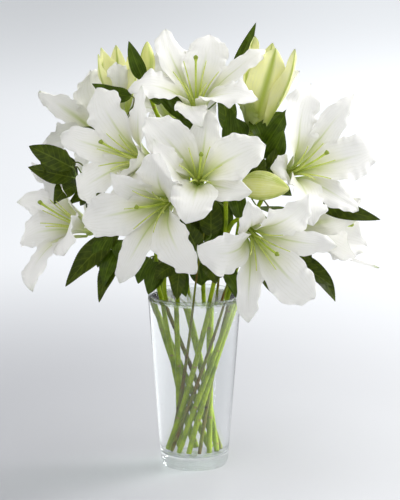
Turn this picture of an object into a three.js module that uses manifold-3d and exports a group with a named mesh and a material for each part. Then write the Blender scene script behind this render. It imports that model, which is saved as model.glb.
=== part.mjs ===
// White oriental lilies with dark salal foliage, standing in water in a tapered clear glass vase.
// Millimetres, +Z up. The origin is the centre of the vase's underside, and the front faces -Y.
import * as THREE from "three";
import { mergeVertices } from "three/addons/utils/BufferGeometryUtils.js";
import Module from "manifold-3d";

const wasm = await Module();
wasm.setup();

// Vase and water
const VASE_HEIGHT = 240;
const VASE_FOOT_RADIUS = 42;
const VASE_BASE_RADIUS = 46.5;
const VASE_RIM_RADIUS = 64;
const VASE_HEEL_HEIGHT = 7;
const VASE_WALL = 3.4;
const VASE_FLOOR = 19;
const VASE_FLOOR_CURVE = 7;
const WATER_LEVEL = 234;
const VASE_SEGMENTS = 26;

// Stems: straight lines in the vase, all leaning the same way round, as in a hand-tied spiral
const STEM_COUNT = 13;
const STEM_TWIST_DEG = 125;
const STEM_FOOT_RING = 27;
const STEM_MOUTH_RING = 47;
const LILY_STEM_RADIUS = 3.2;
const LILY_TOP_RADIUS = 2.9;
const SALAL_STEM_RADIUS = 2.2;
const SALAL_TOP_RADIUS = 1.3;
const STEM_SIDES = 6;
const STEM_CURVE_STEPS = 4;
const STEM_FOOT_RISE = 2.6;
const STEM_NECK = 6;

// Blooms
const PETAL_LENGTH = 120;
const INNER_HALF_WIDTH = 28;
const OUTER_HALF_WIDTH = 19;
const PETAL_THICKNESS = 1.2;
const PETAL_ROWS = 5;
const PETAL_STEPS = 30;
const ROOT_RADIUS = 6;
const OUTER_ROOT_STEP = 2.4;
const OUTER_LEAN_DEG = 3;
const TUBE_LEAN_DEG = 19;
const RECEPTACLE_RADIUS = 10;
const RECEPTACLE_DEPTH = 8;
const RECEPTACLE_RISE = 1.5;
const DISC_RADIUS = 4.8;
const DISC_HEIGHT = 3;
const PISTIL_LENGTH = 84;
const PISTIL_BEND = 9;
const PISTIL_SHARES = [0, 0.4, 0.92, 1];
const PISTIL_RADII = [1.6, 1.5, 1.6, 3];
const FILAMENT_LENGTH = 64;
const FILAMENT_RING = 2.8;
const FILAMENT_SHARES = [0, 0.5, 1];
const FILAMENT_RADII = [0.9, 1.1, 0.7];

// How a petal's edge and midline are shaped: inner petals are broader, more ruffled and more deeply grooved
const INNER_RUFFLE = 4.5;
const OUTER_RUFFLE = 2.2;
const INNER_GROOVE = 2.4;
const OUTER_GROOVE = 1.2;
const INNER_CUP_DEG = 56;
const OUTER_CUP_DEG = 34;

// Leaves
const LEAF_THICKNESS = 1.0;
const LEAF_ROWS = 5;
const STALK_ROWS = 2;
const LEAF_FOLD = 0.38;
const STALK_HALF_WIDTH = 1.1;
const STALK_THICKNESS = 1.7;

// Buds
const BUD_RINGS = 6;
const BUD_SIDES = 9;
const BUD_KEEL = 0.1;

// Play between pieces that meet
const SEAT_GAP = 0.3;
const STEM_PLAY = 0.36;

const COLOURS = {
  glass: [0xe9efee, 0.03],
  water: [0xdfeeee, 0.02],
  petal: [0xf6f6f0, 0.55],
  style: [0xb9cc52, 0.5],
  bud: [0xc9d070, 0.5],
  lilyStem: [0x7f9a3a, 0.5],
  salal: [0x35501c, 0.45],
};

const rad = THREE.MathUtils.degToRad;
const vec = (x, y, z) => new THREE.Vector3(x, y, z);

function smooth(x) {
  const c = Math.min(1, Math.max(0, x));
  return c * c * (3 - 2 * c);
}

// A closed three.js geometry as a manifold solid.
function solidOf(geometry) {
  const bare = new THREE.BufferGeometry();
  bare.setAttribute("position", geometry.getAttribute("position"));
  bare.setIndex(geometry.index);
  const merged = mergeVertices(bare, 1e-4);
  return new wasm.Manifold(
    new wasm.Mesh({
      numProp: 3,
      vertProperties: merged.attributes.position.array,
      triVerts: new Uint32Array(merged.index.array),
    }),
  );
}

// A manifold solid as a three.js geometry.
function geometryOf(solid) {
  const mesh = solid.getMesh();
  const geometry = new THREE.BufferGeometry();
  geometry.setAttribute("position", new THREE.BufferAttribute(new Float32Array(mesh.vertProperties), 3));
  geometry.setIndex(new THREE.BufferAttribute(new Uint32Array(mesh.triVerts), 1));
  geometry.computeVertexNormals();
  return geometry;
}

// The solids as one body. A scrap that the join leaves loose is dropped.
function joined(solids) {
  const bodies = solids.reduce((whole, piece) => whole.add(piece)).decompose();
  return bodies.sort((a, b) => b.volume() - a.volume())[0];
}

function namedMesh(name, geometry, colourName) {
  const [colour, roughness] = COLOURS[colourName];
  const material = new THREE.MeshStandardMaterial({ color: colour, roughness, metalness: 0 });
  const mesh = new THREE.Mesh(geometry, material);
  mesh.name = name;
  return mesh;
}

// Closes rows of upper and lower points, from root to tip, into a blade. The last row is one point on
// each face, and both faces are split into triangles alike.
function bladeGeometry(rows) {
  const across = rows[0].upper.length;
  const edge = across - 1;
  const last = rows.length - 1;
  const points = [];
  const starts = [];
  rows.forEach((row, i) => {
    starts.push(points.length / 3);
    for (const face of [row.upper, row.lower]) {
      const kept = i === last ? [face[edge / 2]] : face;
      kept.forEach((point) => points.push(...point.toArray()));
    }
  });
  const upper = (i, j) => starts[i] + (i === last ? 0 : j);
  const lower = (i, j) => starts[i] + (i === last ? 1 : across + j);
  const triangles = [];
  const addQuad = (a, b, c, d) => {
    if (b !== c) triangles.push(a, b, c);
    if (c !== d) triangles.push(a, c, d);
  };
  for (let i = 0; i < last; i++) {
    for (let j = 0; j < edge; j++) {
      addQuad(upper(i, j), upper(i + 1, j), upper(i + 1, j + 1), upper(i, j + 1));
      addQuad(lower(i, j), lower(i, j + 1), lower(i + 1, j + 1), lower(i + 1, j));
    }
    addQuad(upper(i, 0), lower(i, 0), lower(i + 1, 0), upper(i + 1, 0));
    addQuad(lower(i, edge), upper(i, edge), upper(i + 1, edge), lower(i + 1, edge));
  }
  for (let j = 0; j < edge; j++) addQuad(upper(0, j), upper(0, j + 1), lower(0, j + 1), lower(0, j));
  const geometry = new THREE.BufferGeometry();
  geometry.setAttribute("position", new THREE.Float32BufferAttribute(points, 3));
  geometry.setIndex(triangles);
  return geometry;
}

// A closed tapering tube along points, with a radius at each point. Its rings don't twist along the way.
function tubeGeometry(points, radii, sides) {
  const positions = [];
  const triangles = [];
  let across = null;
  points.forEach((point, i) => {
    const ahead = points[Math.min(i + 1, points.length - 1)].clone();
    const along = ahead.sub(points[Math.max(i - 1, 0)]).normalize();
    if (!across) across = Math.abs(along.z) > 0.8 ? vec(1, 0, 0) : vec(0, 0, 1);
    across = across.clone().addScaledVector(along, -across.dot(along)).normalize();
    const third = along.clone().cross(across);
    for (let k = 0; k < sides; k++) {
      const turn = (2 * Math.PI * k) / sides;
      const ring = point.clone().addScaledVector(across, radii[i] * Math.cos(turn));
      positions.push(...ring.addScaledVector(third, radii[i] * Math.sin(turn)).toArray());
    }
  });
  const lastRing = (points.length - 1) * sides;
  for (let k = 0; k < sides; k++) {
    const next = (k + 1) % sides;
    for (let i = 0; i < lastRing; i += sides) {
      triangles.push(i + k, i + next, i + sides + next, i + k, i + sides + next, i + sides + k);
    }
    if (k > 0 && k + 1 < sides) {
      triangles.push(0, next, k, lastRing, lastRing + k, lastRing + next);
    }
  }
  const geometry = new THREE.BufferGeometry();
  geometry.setAttribute("position", new THREE.Float32BufferAttribute(positions, 3));
  geometry.setIndex(triangles);
  return geometry;
}

// One row of a blade: a section curved like an arc, with a groove down its midline and waves at its edges.
// half is the half width, cup the half angle of the arc and lift(v) the height of the wave at v from -1 to 1.
function bladeRow(centre, side, up, half, cup, lift, thickness, across) {
  const upper = [];
  const lower = [];
  const bend = Math.abs(cup) < 0.01 ? 0.01 : cup;
  for (let j = 0; j <= across; j++) {
    const v = (2 * j) / across - 1;
    const point = centre.clone();
    point.addScaledVector(side, (half * Math.sin(bend * v)) / bend);
    point.addScaledVector(up, (half * (1 - Math.cos(bend * v))) / bend + lift(v));
    const normal = up.clone().multiplyScalar(Math.cos(bend * v)).addScaledVector(side, -Math.sin(bend * v));
    upper.push(point.clone().addScaledVector(normal, thickness / 2));
    lower.push(point.clone().addScaledVector(normal, -thickness / 2));
  }
  return { upper, lower };
}

// Petals. All six rise evenly round the bloom's axis, lie against each other as a tube, and then spread.
const BLOOM_DEFAULTS = { turn: 0, spread: 70, curl: 32, size: 1 };

function petalLean(petal, t) {
  const tube = TUBE_LEAN_DEG + (petal.inner ? 0 : OUTER_LEAN_DEG);
  const spread = (petal.spread - tube) * smooth((t - 0.08) / 0.5);
  return rad(tube + spread + petal.curl * smooth((t - 0.52) / 0.48));
}

// The petal's midline, in the bloom's frame: the bloom's axis is +Z.
function petalMiddle(petal, t) {
  let reach = ROOT_RADIUS + (petal.inner ? 0 : OUTER_ROOT_STEP);
  let height = 0;
  for (let i = 0; i < PETAL_STEPS; i++) {
    const lean = petalLean(petal, ((i + 0.5) / PETAL_STEPS) * t);
    reach += (Math.sin(lean) * petal.length * t) / PETAL_STEPS;
    height += (Math.cos(lean) * petal.length * t) / PETAL_STEPS;
  }
  const azimuth = petalAzimuth(petal, t);
  return vec(reach * Math.cos(azimuth), reach * Math.sin(azimuth), height);
}

function petalAzimuth(petal, t) {
  return rad(petal.root + (petal.azimuth - petal.root) * Math.pow(Math.max(0, t), 1.6));
}

function petalHalfWidth(petal, t) {
  const widest = petal.inner ? 0.56 : 0.5;
  const past = Math.max(0, (t - widest) / (1 - widest));
  const claw = 0.14 + 0.86 * smooth(t / widest);
  const tip = Math.pow(Math.max(0, 1 - Math.pow(past, petal.inner ? 2.5 : 2.0)), 0.8);
  return petal.halfWidth * claw * tip;
}

function petalWave(petal, t, v) {
  const fade = smooth((t - 0.3) / 0.3) * (1 - 0.7 * smooth((t - 0.85) / 0.15));
  const phase = petal.root * 0.7 + (v < 0 ? 2.2 : 0);
  const edge = petal.ruffle * Math.pow(Math.abs(v), 2.5) * Math.sin(2 * Math.PI * 2.1 * t + phase);
  const groove = (1 - Math.min(1, Math.abs(v) * 2)) * petal.groove * (1 - 0.6 * t);
  return edge * fade - groove * smooth(t / 0.2);
}

// Half the angle of the arc that a petal's section makes: it follows the tube, then flattens as the
// petal spreads.
function petalCup(petal, t) {
  const open = smooth((petal.spread - 15) / 40);
  const tube = petal.inner ? INNER_CUP_DEG : OUTER_CUP_DEG;
  return rad(tube - open * (0.78 * tube * smooth((t - 0.2) / 0.45) + 20 * smooth((t - 0.6) / 0.4)));
}

function petalRow(petal, t) {
  const step = 0.004;
  const centre = petalMiddle(petal, t);
  const along = petalMiddle(petal, t + step).sub(petalMiddle(petal, t - step)).normalize();
  const azimuth = petalAzimuth(petal, t);
  const side = vec(-Math.sin(azimuth), Math.cos(azimuth), 0);
  side.addScaledVector(along, -side.dot(along)).normalize();
  side.applyAxisAngle(along, rad(petal.twist) * t * t);
  const up = along.clone().cross(side);
  const cup = petalCup(petal, t);
  const half = petalHalfWidth(petal, t);
  const wave = (v) => petalWave(petal, t, v);
  return bladeRow(centre, side, up, half, cup, wave, PETAL_THICKNESS, petal.inner ? 4 : 2);
}

// Rows lie closer together towards the tip.
function petalSolid(petal) {
  const list = [];
  for (let i = 0; i <= PETAL_ROWS; i++) {
    list.push(petalRow(petal, 1 - Math.pow(1 - i / PETAL_ROWS, 1.25)));
  }
  return solidOf(bladeGeometry(list));
}

// Blooms. seat is where the petals rise from the receptacle, aim is the way the bloom faces and turn the
// azimuth of its first petal's root. A petal is [azimuth, spread, curl, length, twist]: its tip hangs at
// azimuth, it leaves the tube at spread degrees from the bloom's axis, it curls back by curl degrees more,
// and length is a share of the full length. They are inner and outer by turns. Azimuth 0 points up, and
// azimuths run anticlockwise for someone who looks into the bloom.
const BLOOMS = [
  {
    name: "low_left",
    seat: [-31, -91, 383],
    aim: [-0.5, -0.85, -0.05],
    turn: 102,
    petals: [
      [103, 68, 28, 1.1],
      [155, 68, 28, 1.15],
      [222, 68, 28, 1.08],
      [278, 48, 50, 0.68],
      [340, 55, 10, 0.92],
      [400, 30, 30, 0.84],
    ],
  },
  {
    name: "front",
    seat: [5, -96, 409],
    aim: [0.05, -0.88, 0.47],
    turn: 49,
    petals: [
      [45, 62, 38, 1.03],
      [60, 30, 50, 0.84],
      [165, 46, 50, 0.92],
      [246, 60, 24, 0.72],
      [290, 62, 38, 0.97],
      [352, 70, 40, 0.88],
    ],
  },
  {
    name: "top",
    seat: [2, -35, 490],
    aim: [0, -0.45, 0.89],
    turn: 103,
    petals: [
      [92, 68, 45, 0.95],
      [186, 68, 40, 0.82],
      [238, 62, 35, 1],
      [303, 64, 22, 1.12],
      [348, 58, 25, 1],
      [381, 64, 25, 1.15],
    ],
  },
  {
    name: "low_right",
    seat: [70, -92, 347],
    aim: [0.42, -0.84, -0.34],
    turn: 97,
    petals: [
      [80, 66, 30, 1.1],
      [178, 70, 28, 1.13],
      [226, 60, 25, 1.16],
      [268, 64, 28, 1.04],
      [332, 55, 35, 1],
      [388, 54, 40, 0.85],
    ],
  },
  {
    name: "right",
    seat: [125, -44, 412],
    aim: [0.58, -0.73, 0.34],
    turn: -92,
    petals: [
      [-85, 60, 28, 1.12],
      [-42, 58, 20, 1.16],
      [-10, 66, 25, 1.12],
      [84, 52, 60, 0.55],
      [168, 60, 50, 0.86],
      [222, 64, 28, 0.93],
    ],
  },
  {
    name: "left",
    seat: [-62, -64, 431],
    aim: [-0.72, -0.62, 0.3],
    turn: 24,
    petals: [
      [36, 58, 35, 1.05, 20],
      [85, 60, 28, 1.14],
      [130, 70, 38, 0.98],
      [165, 62, 40, 0.62],
      [195, 33, 10, 0.54],
      [347, 62, 28, 0.95],
    ],
  },
  {
    name: "far_left",
    seat: [-141, -8, 329],
    aim: [-0.81, -0.4, 0.42],
    turn: 10,
    petals: [
      [58, 44, 20, 1.0, -40],
      [92, 54, 20, 1.0],
      [136, 46, 30, 0.86],
      [209, 64, 20, 1.2, -40],
      [236, 56, 40, 0.85],
      [320, 75, 40, 0.5],
    ],
  },
  {
    name: "opening",
    seat: [79, 4, 458],
    aim: [0.21, -0.08, 0.97],
    turn: -12,
    petals: [
      [-10, 15, -24, 1.1],
      [72, 22, 70, 0.5],
      [116, 14, -26, 1.08],
      [158, 15, -20, 1.12],
      [205, 22, -2, 0.86],
      [290, 15, -22, 1.05],
    ],
  },
  {
    name: "far_right",
    seat: [131, 14, 327],
    aim: [0.94, -0.22, 0],
    petals: [
      [15, 36, -30, 0.9],
      [62, 34, -20, 0.95],
      [120, 30, -5, 0.9],
      [176, 19, -8, 1.08],
      [240, 30, 6, 0.95],
      [300, 32, 8, 0.9],
    ],
  },
  {
    name: "opening_left",
    seat: [-98, 14, 486],
    aim: [-0.08, -0.05, 0.99],
    size: 0.66,
    style: false,
    petals: [
      [0, 15, -20],
      [60, 14, -14, 1.15],
      [120, 14, -22, 1.15],
      [180, 15, -18, 1.1],
      [240, 20, 4],
      [300, 16, -18, 1.1],
    ],
  },
  {
    name: "back_left",
    seat: [-116, 50, 440],
    aim: [-0.6, 0.5, 0.62],
    turn: -15,
    petals: [
      [-22, 50, 25, 0.9],
      [45, 76, 32, 0.66],
      [105, 70, 32, 0.8],
      [168, 80, 50, 0.8],
      [234, 72, 30, 0.95],
      [291, 56, 16, 1.1, -50],
    ],
  },
  {
    name: "back",
    seat: [-30, 80, 468],
    aim: [-0.15, 0.72, 0.67],
    petals: [
      [0, 70, 32],
      [36, 46, 32, 0.75],
      [136, 70, 32],
      [180, 70, 32],
      [248, 62, 32, 0.75],
      [308, 62, 32, 0.75],
    ],
  },
];

const BUDS = [
  { name: "bud_right", seat: [62, -88, 404], aim: [0.86, -0.48, 0.0], length: 70, radius: 19 },
  { name: "bud_back", seat: [-63, 55, 528], aim: [-0.03, 0.15, 0.98], length: 50, radius: 10 },
];

// Stems in the order of their places round the spiral, with where each side stalk leaves the first.
const STEMS = [
  { name: "stem_1", tops: ["right", "far_right"], forks: [0.35] },
  { name: "stem_2", tops: ["opening"] },
  { name: "salal_back", end: [50, 130, 440] },
  { name: "stem_3", tops: ["back", "bud_back"], forks: [0.6] },
  { name: "stem_4", tops: ["back_left", "opening_left"], forks: [0.6] },
  { name: "salal_left", end: [-158, -14, 402] },
  { name: "stem_5", tops: ["far_left"] },
  { name: "stem_6", tops: ["left"] },
  { name: "stem_7", tops: ["low_left"] },
  { name: "stem_8", tops: ["top", "front"], forks: [0.45] },
  { name: "salal_front", end: [16, -55, 350] },
  { name: "stem_9", tops: ["low_right", "bud_right"], forks: [0.5] },
  { name: "salal_right", end: [158, -6, 350] },
];
const FIRST_MOUTH_DEG = -8;

// Leaves, each [stem, share of its curve, base, tip, half width, more settings].
const LEAVES = [
  ["salal_left", 1, [-163, -36, 419], [-221, -25, 446], 16],
  ["salal_left", 0.93, [-160, -42, 406], [-223, -22, 417], 15, { arch: -3 }],
  ["salal_left", 0.86, [-160, 14, 412], [-180, 32, 372], 17, { arch: -3 }],
  ["salal_left", 0.76, [-161, 15, 418], [-208, 24, 392], 16],
  ["salal_left", 0.8, [-127, 0, 450], [-157, -5, 467], 12],
  ["salal_left", 0.5, [-103, -20, 328], [-174, -35, 256], 18],
  ["salal_left", 0.4, [-100, -25, 305], [-129, -30, 233], 13],
  ["salal_right", 1, [166, -30, 369], [247, -64, 353], 13, { roll: 35 }],
  ["salal_right", 0.55, [129, -10, 291], [191, -20, 232], 15, { arch: 20 }],
  ["salal_right", 0.5, [128, -28, 286], [185, -35, 257], 13],
  ["salal_right", 0.7, [90, -35, 388], [108, -30, 444], 15],
  ["salal_right", 0.6, [74, -42, 392], [90, -42, 443], 14],
  ["salal_right", 0.25, [80, -58, 287], [102, -65, 255], 9],
  ["salal_right", 0.85, [150, 30, 346], [188, 70, 362], 16],
  ["salal_front", 0.6, [22, -55, 330], [20, -55, 388], 16],
  ["salal_front", 0.4, [3, -58, 310], [-18, -76, 356], 15],
  ["stem_7", 0.12, [-44, -50, 285], [-62, -56, 250], 14],
  ["salal_front", 0.3, [-19, -70, 289], [-23, -78, 247], 11],
  ["salal_front", 0.35, [-28, -62, 290], [-54, -67, 271], 11],
  ["stem_9", 0.12, [42, -58, 280], [61, -68, 246], 10],
  ["stem_8", 0.8, [-6, 0, 478], [-59, 0, 523], 15],
  ["stem_8", 0.7, [8, -10, 452], [-38, -40, 485], 12],
  ["stem_8", 0.65, [48, -20, 440], [47, -20, 498], 14],
  ["stem_3", 0.8, [50, 28, 525], [83, 30, 606], 10],
  ["stem_4", 0.8, [-84, -20, 512], [-136, -27, 530], 12, { curve: 1, roll: -40 }],
  ["stem_4", 0.9, [-68, -14, 534], [-87, -20, 586], 11, { curve: 1 }],
  ["stem_2", 0.7, [91, -5, 438], [127, -10, 496], 13],
  ["salal_back", 1, [45, 136, 445], [29, 163, 520], 18],
  ["salal_back", 0.95, [66, 128, 430], [125, 140, 470], 18],
  ["salal_back", 0.6, [80, 90, 340], [150, 125, 310], 18],
  ["salal_back", 0.5, [0, 95, 330], [-60, 135, 290], 18],
  ["stem_2", 0.15, [56, 50, 285], [88, 90, 242], 15],
];

// The frame of a bloom or bud: its origin at the seat, +Z the way it faces and +X the way of azimuth 0.
function frameOf({ seat, aim }) {
  const facing = vec(...aim).normalize();
  const upwards = vec(0, 0, 1).addScaledVector(facing, -facing.z).normalize();
  const third = facing.clone().cross(upwards);
  return new THREE.Matrix4().makeBasis(upwards, third, facing).setPosition(...seat);
}

function bloomPetals(bloom) {
  const settings = { ...BLOOM_DEFAULTS, ...bloom };
  return bloom.petals.map(([azimuth, spread, curl, share, twist], k) => ({
    azimuth,
    root: settings.turn + 60 * k,
    inner: k % 2 === 0,
    spread: spread ?? settings.spread,
    curl: curl ?? settings.curl,
    length: PETAL_LENGTH * settings.size * (share ?? 1),
    halfWidth: (k % 2 === 0 ? INNER_HALF_WIDTH : OUTER_HALF_WIDTH) * settings.size,
    ruffle: k % 2 === 0 ? INNER_RUFFLE : OUTER_RUFFLE,
    groove: k % 2 === 0 ? INNER_GROOVE : OUTER_GROOVE,
    twist: twist ?? 0,
  }));
}

function receptacleSolid() {
  const profile = [
    [0, -RECEPTACLE_DEPTH],
    [4, -RECEPTACLE_DEPTH],
    [RECEPTACLE_RADIUS, -1],
    [RECEPTACLE_RADIUS, RECEPTACLE_RISE],
    [0, RECEPTACLE_RISE],
  ];
  return solidOf(turned(profile, 7));
}

// A profile of radius and height, from the axis back to the axis, turned round +Z.
function turned(profile, segments) {
  const points = profile.map(([radius, height]) => new THREE.Vector2(radius, height));
  return new THREE.LatheGeometry(points, segments).rotateX(Math.PI / 2);
}

// The pistil and the six filaments, whose anthers a florist takes off, on one small disc.
function styleSolid(bloom) {
  const size = bloom.size ?? 1;
  const lean = bloom.petals[0][1] / 70;
  const low = RECEPTACLE_RISE + SEAT_GAP;
  const middle = [vec(0, 0, low), vec(0, 0, low + DISC_HEIGHT)];
  const pistil = PISTIL_SHARES.map((t) => {
    return vec(PISTIL_BEND * t * t * size, 0, low + 1 + PISTIL_LENGTH * size * t);
  });
  const pieces = [tubeGeometry(middle, [DISC_RADIUS, DISC_RADIUS], 6), tubeGeometry(pistil, PISTIL_RADII, 4)];
  for (let k = 0; k < 6; k++) {
    const turn = rad(60 * k + 30);
    const path = FILAMENT_SHARES.map((t) => {
      const reach = FILAMENT_RING + (8 * t + 20 * t * t) * lean * size;
      return vec(reach * Math.cos(turn), reach * Math.sin(turn), low + 1.5 + FILAMENT_LENGTH * size * t);
    });
    pieces.push(tubeGeometry(path, FILAMENT_RADII, 3));
  }
  return joined(pieces.map(solidOf));
}

// A closed bud: three sepals that meet in valleys, with a keel along each.
function budSolid({ length, radius }) {
  const rings = BUD_RINGS;
  const sides = BUD_SIDES;
  const positions = [0, 0, 0];
  const triangles = [];
  for (let i = 0; i < rings; i++) {
    const t = (i + 0.35) / rings;
    const girth = radius * Math.pow(Math.sin(Math.PI * Math.pow(t, 0.8)), 0.7);
    for (let k = 0; k < sides; k++) {
      const turn = (2 * Math.PI * k) / sides;
      const reach = girth * (1 + BUD_KEEL * Math.cos(3 * turn));
      positions.push(reach * Math.cos(turn), reach * Math.sin(turn), length * t);
      const next = (k + 1) % sides;
      const here = 1 + i * sides;
      const below = here - sides;
      if (i === 0) triangles.push(0, here + next, here + k);
      else triangles.push(below + k, below + next, here + next, below + k, here + next, here + k);
    }
  }
  positions.push(0, 0, length);
  const top = positions.length / 3 - 1;
  for (let k = 0; k < sides; k++) triangles.push(top - sides + k, top - sides + ((k + 1) % sides), top);
  const geometry = new THREE.BufferGeometry();
  geometry.setAttribute("position", new THREE.Float32BufferAttribute(positions, 3));
  geometry.setIndex(triangles);
  return solidOf(geometry);
}

// A stem's straight part in the vase, from its foot on the floor to just over the mouth.
function stemLine(index) {
  const mouth = rad(FIRST_MOUTH_DEG + (360 * index) / STEM_COUNT);
  const foot = mouth - rad(STEM_TWIST_DEG);
  const floor = VASE_FLOOR + STEM_FOOT_RISE;
  const low = vec(STEM_FOOT_RING * Math.cos(foot), STEM_FOOT_RING * Math.sin(foot), floor);
  const high = vec(STEM_MOUTH_RING * Math.cos(mouth), STEM_MOUTH_RING * Math.sin(mouth), VASE_HEIGHT);
  return { low, high, along: high.clone().sub(low).normalize() };
}

// Where a stem ends under a bloom or bud, and the way it points there.
function seatOf(name) {
  const bloom = BLOOMS.find((b) => b.name === name);
  const top = bloom ?? BUDS.find((b) => b.name === name);
  const aim = vec(...top.aim).normalize();
  const depth = (bloom ? RECEPTACLE_DEPTH : 0) + SEAT_GAP;
  return { end: vec(...top.seat).addScaledVector(aim, -depth), aim };
}

// The curves of a stem over the vase's mouth: the first goes to its first top, and the rest branch off it.
function stemCurves(stem, index) {
  const { high, along } = stemLine(index);
  if (stem.end) {
    const end = vec(...stem.end);
    const bend = high.clone().addScaledVector(along, end.distanceTo(high) * 0.45);
    return [new THREE.CubicBezierCurve3(high, bend, end.clone().lerp(bend, 0.35), end)];
  }
  const curves = [];
  stem.tops.forEach((name, k) => {
    const { end, aim } = seatOf(name);
    const start = k === 0 ? high : curves[0].getPoint(stem.forks[k - 1]);
    const way = k === 0 ? along : curves[0].getTangent(stem.forks[k - 1]);
    const reach = end.distanceTo(start) * (k === 0 ? 0.4 : 0.3);
    const neck = end.clone().addScaledVector(aim, -STEM_NECK);
    const back = neck.clone().addScaledVector(aim, -Math.min(45, reach));
    curves.push(new THREE.CubicBezierCurve3(start, start.clone().addScaledVector(way, reach), back, neck));
  });
  return curves;
}

function stemSolid(stem, index) {
  const foot = stem.end ? SALAL_STEM_RADIUS : LILY_STEM_RADIUS;
  const top = stem.end ? SALAL_TOP_RADIUS : LILY_TOP_RADIUS;
  const curves = stemCurves(stem, index);
  const pieces = curves.map((curve, k) => {
    const points = curve.getPoints(STEM_CURVE_STEPS);
    const widest = k === 0 ? foot : top;
    const radii = points.map((_, i) => widest + (top - widest) * smooth(i / STEM_CURVE_STEPS));
    if (k === 0) {
      points.unshift(stemLine(index).low);
      radii.unshift(foot);
    }
    if (!stem.end) {
      points.push(seatOf(stem.tops[k]).end);
      radii.push(top);
    }
    return tubeGeometry(points, radii, STEM_SIDES);
  });
  return joined(pieces.map(solidOf));
}

// The inside of the vase as a profile, drawn in by a gap, from the middle of its floor up to a height.
function hollowProfile(gap, top) {
  const slope = (VASE_RIM_RADIUS - VASE_BASE_RADIUS) / (VASE_HEIGHT - VASE_HEEL_HEIGHT);
  const innerAt = (z) => VASE_BASE_RADIUS + slope * (z - VASE_HEEL_HEIGHT) - VASE_WALL - gap;
  const corner = VASE_FLOOR + VASE_FLOOR_CURVE;
  return [
    [0, VASE_FLOOR + gap],
    [innerAt(corner) - 5, VASE_FLOOR + 1 + gap],
    [innerAt(corner), corner + gap],
    [innerAt(top), top],
  ];
}

function vaseSolid() {
  const outside = [
    [0, 0],
    [VASE_FOOT_RADIUS, 0],
    [VASE_BASE_RADIUS - 1.3, 2],
    [VASE_BASE_RADIUS, VASE_HEEL_HEIGHT],
    [VASE_RIM_RADIUS - 0.3, VASE_HEIGHT - 1.5],
    [VASE_RIM_RADIUS - VASE_WALL / 2, VASE_HEIGHT],
  ];
  return solidOf(turned([...outside, ...hollowProfile(0, VASE_HEIGHT - 1.2).reverse()], VASE_SEGMENTS));
}

// The water, with a plain hole for each stem, a little wider than the stem.
function waterSolid() {
  const water = solidOf(turned([...hollowProfile(SEAT_GAP, WATER_LEVEL), [0, WATER_LEVEL]], VASE_SEGMENTS));
  const holes = STEMS.map((stem, index) => {
    const { low, high, along } = stemLine(index);
    const radius = (stem.end ? SALAL_STEM_RADIUS : LILY_STEM_RADIUS) + STEM_PLAY;
    const foot = low.clone().addScaledVector(along, -10);
    return solidOf(tubeGeometry([foot, high], [radius, radius], STEM_SIDES));
  });
  return holes.reduce((rest, hole) => rest.subtract(hole), water);
}

// Leaves. A leaf lies from its base to its tip. half is its half width, arch how far its middle stands up,
// and roll turns its face about the line from base to tip.
const LEAF_DEFAULTS = { curve: 0, arch: 8, roll: 0, wave: 1.6 };

// Leaves in the front half look to the front and up, and those behind look outwards and up.
function leafFace(leaf) {
  if (leaf.base.y < 30) return vec(leaf.base.x / 300, -0.85, 0.5);
  return vec(leaf.base.x, leaf.base.y, 0).normalize().add(vec(0, 0, 0.8));
}

function leafOf([stem, share, base, tip, half, more]) {
  return { ...LEAF_DEFAULTS, stem, share, base: vec(...base), tip: vec(...tip), half, ...more };
}

// The leaf with its stalk or twig, as one blade that starts in the middle of its stem.
function leafSolid(leaf, curve) {
  const along = leaf.tip.clone().sub(leaf.base);
  const size = along.length();
  along.normalize();
  const side = leafFace(leaf).cross(along).normalize().applyAxisAngle(along, rad(leaf.roll));
  const up = along.clone().cross(side).normalize();
  const start = curve.getPoint(leaf.share);
  const reach = leaf.base.distanceTo(start);
  const out = start.clone().addScaledVector(curve.getTangent(leaf.share), reach * 0.3);
  const lie = along.clone().addScaledVector(up, (4 * leaf.arch) / size).normalize();
  const back = leaf.base.clone().addScaledVector(lie, -reach * 0.35);
  const stalk = new THREE.CubicBezierCurve3(start, out, back, leaf.base);
  const list = [];
  for (let i = 0; i < STALK_ROWS; i++) {
    const point = stalk.getPoint(i / STALK_ROWS);
    const way = stalk.getTangent(i / STALK_ROWS);
    const across = side.clone().addScaledVector(way, -side.dot(way)).normalize();
    const rise = way.clone().cross(across);
    list.push(bladeRow(point, across, rise, STALK_HALF_WIDTH, 0, () => 0, STALK_THICKNESS, 2));
  }
  for (let i = 0; i <= LEAF_ROWS; i++) {
    const t = i / LEAF_ROWS;
    const centre = leaf.base.clone().addScaledVector(along, size * t);
    centre.addScaledVector(up, 4 * leaf.arch * t * (1 - t));
    const way = along.clone().addScaledVector(up, (4 * leaf.arch * (1 - 2 * t)) / size).normalize();
    const body = Math.pow(Math.sin(Math.PI * Math.pow(t, 0.72)), 0.85);
    const half = STALK_HALF_WIDTH + (leaf.half - STALK_HALF_WIDTH) * body;
    const swell = leaf.wave * Math.sin(Math.PI * t);
    const wave = (v) => swell * v * v * Math.sin(2 * Math.PI * 1.6 * t + (v < 0 ? 2.6 : 0));
    list.push(bladeRow(centre, side, way.clone().cross(side), half, LEAF_FOLD, wave, LEAF_THICKNESS, 2));
  }
  return solidOf(bladeGeometry(list));
}

function stemWithLeaves(stem, index) {
  const curves = stemCurves(stem, index);
  const leaves = LEAVES.filter((row) => row[0] === stem.name).map(leafOf);
  const blades = leaves.map((leaf) => leafSolid(leaf, curves[leaf.curve]));
  return joined([stemSolid(stem, index), ...blades]);
}

const bouquet = new THREE.Group();

function addSolid(name, solid, colourName) {
  bouquet.add(namedMesh(name, geometryOf(solid), colourName));
}

addSolid("vase", vaseSolid(), "glass");
addSolid("water", waterSolid(), "water");

STEMS.forEach((stem, index) => {
  addSolid(stem.name, stemWithLeaves(stem, index), stem.end ? "salal" : "lilyStem");
});

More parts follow.
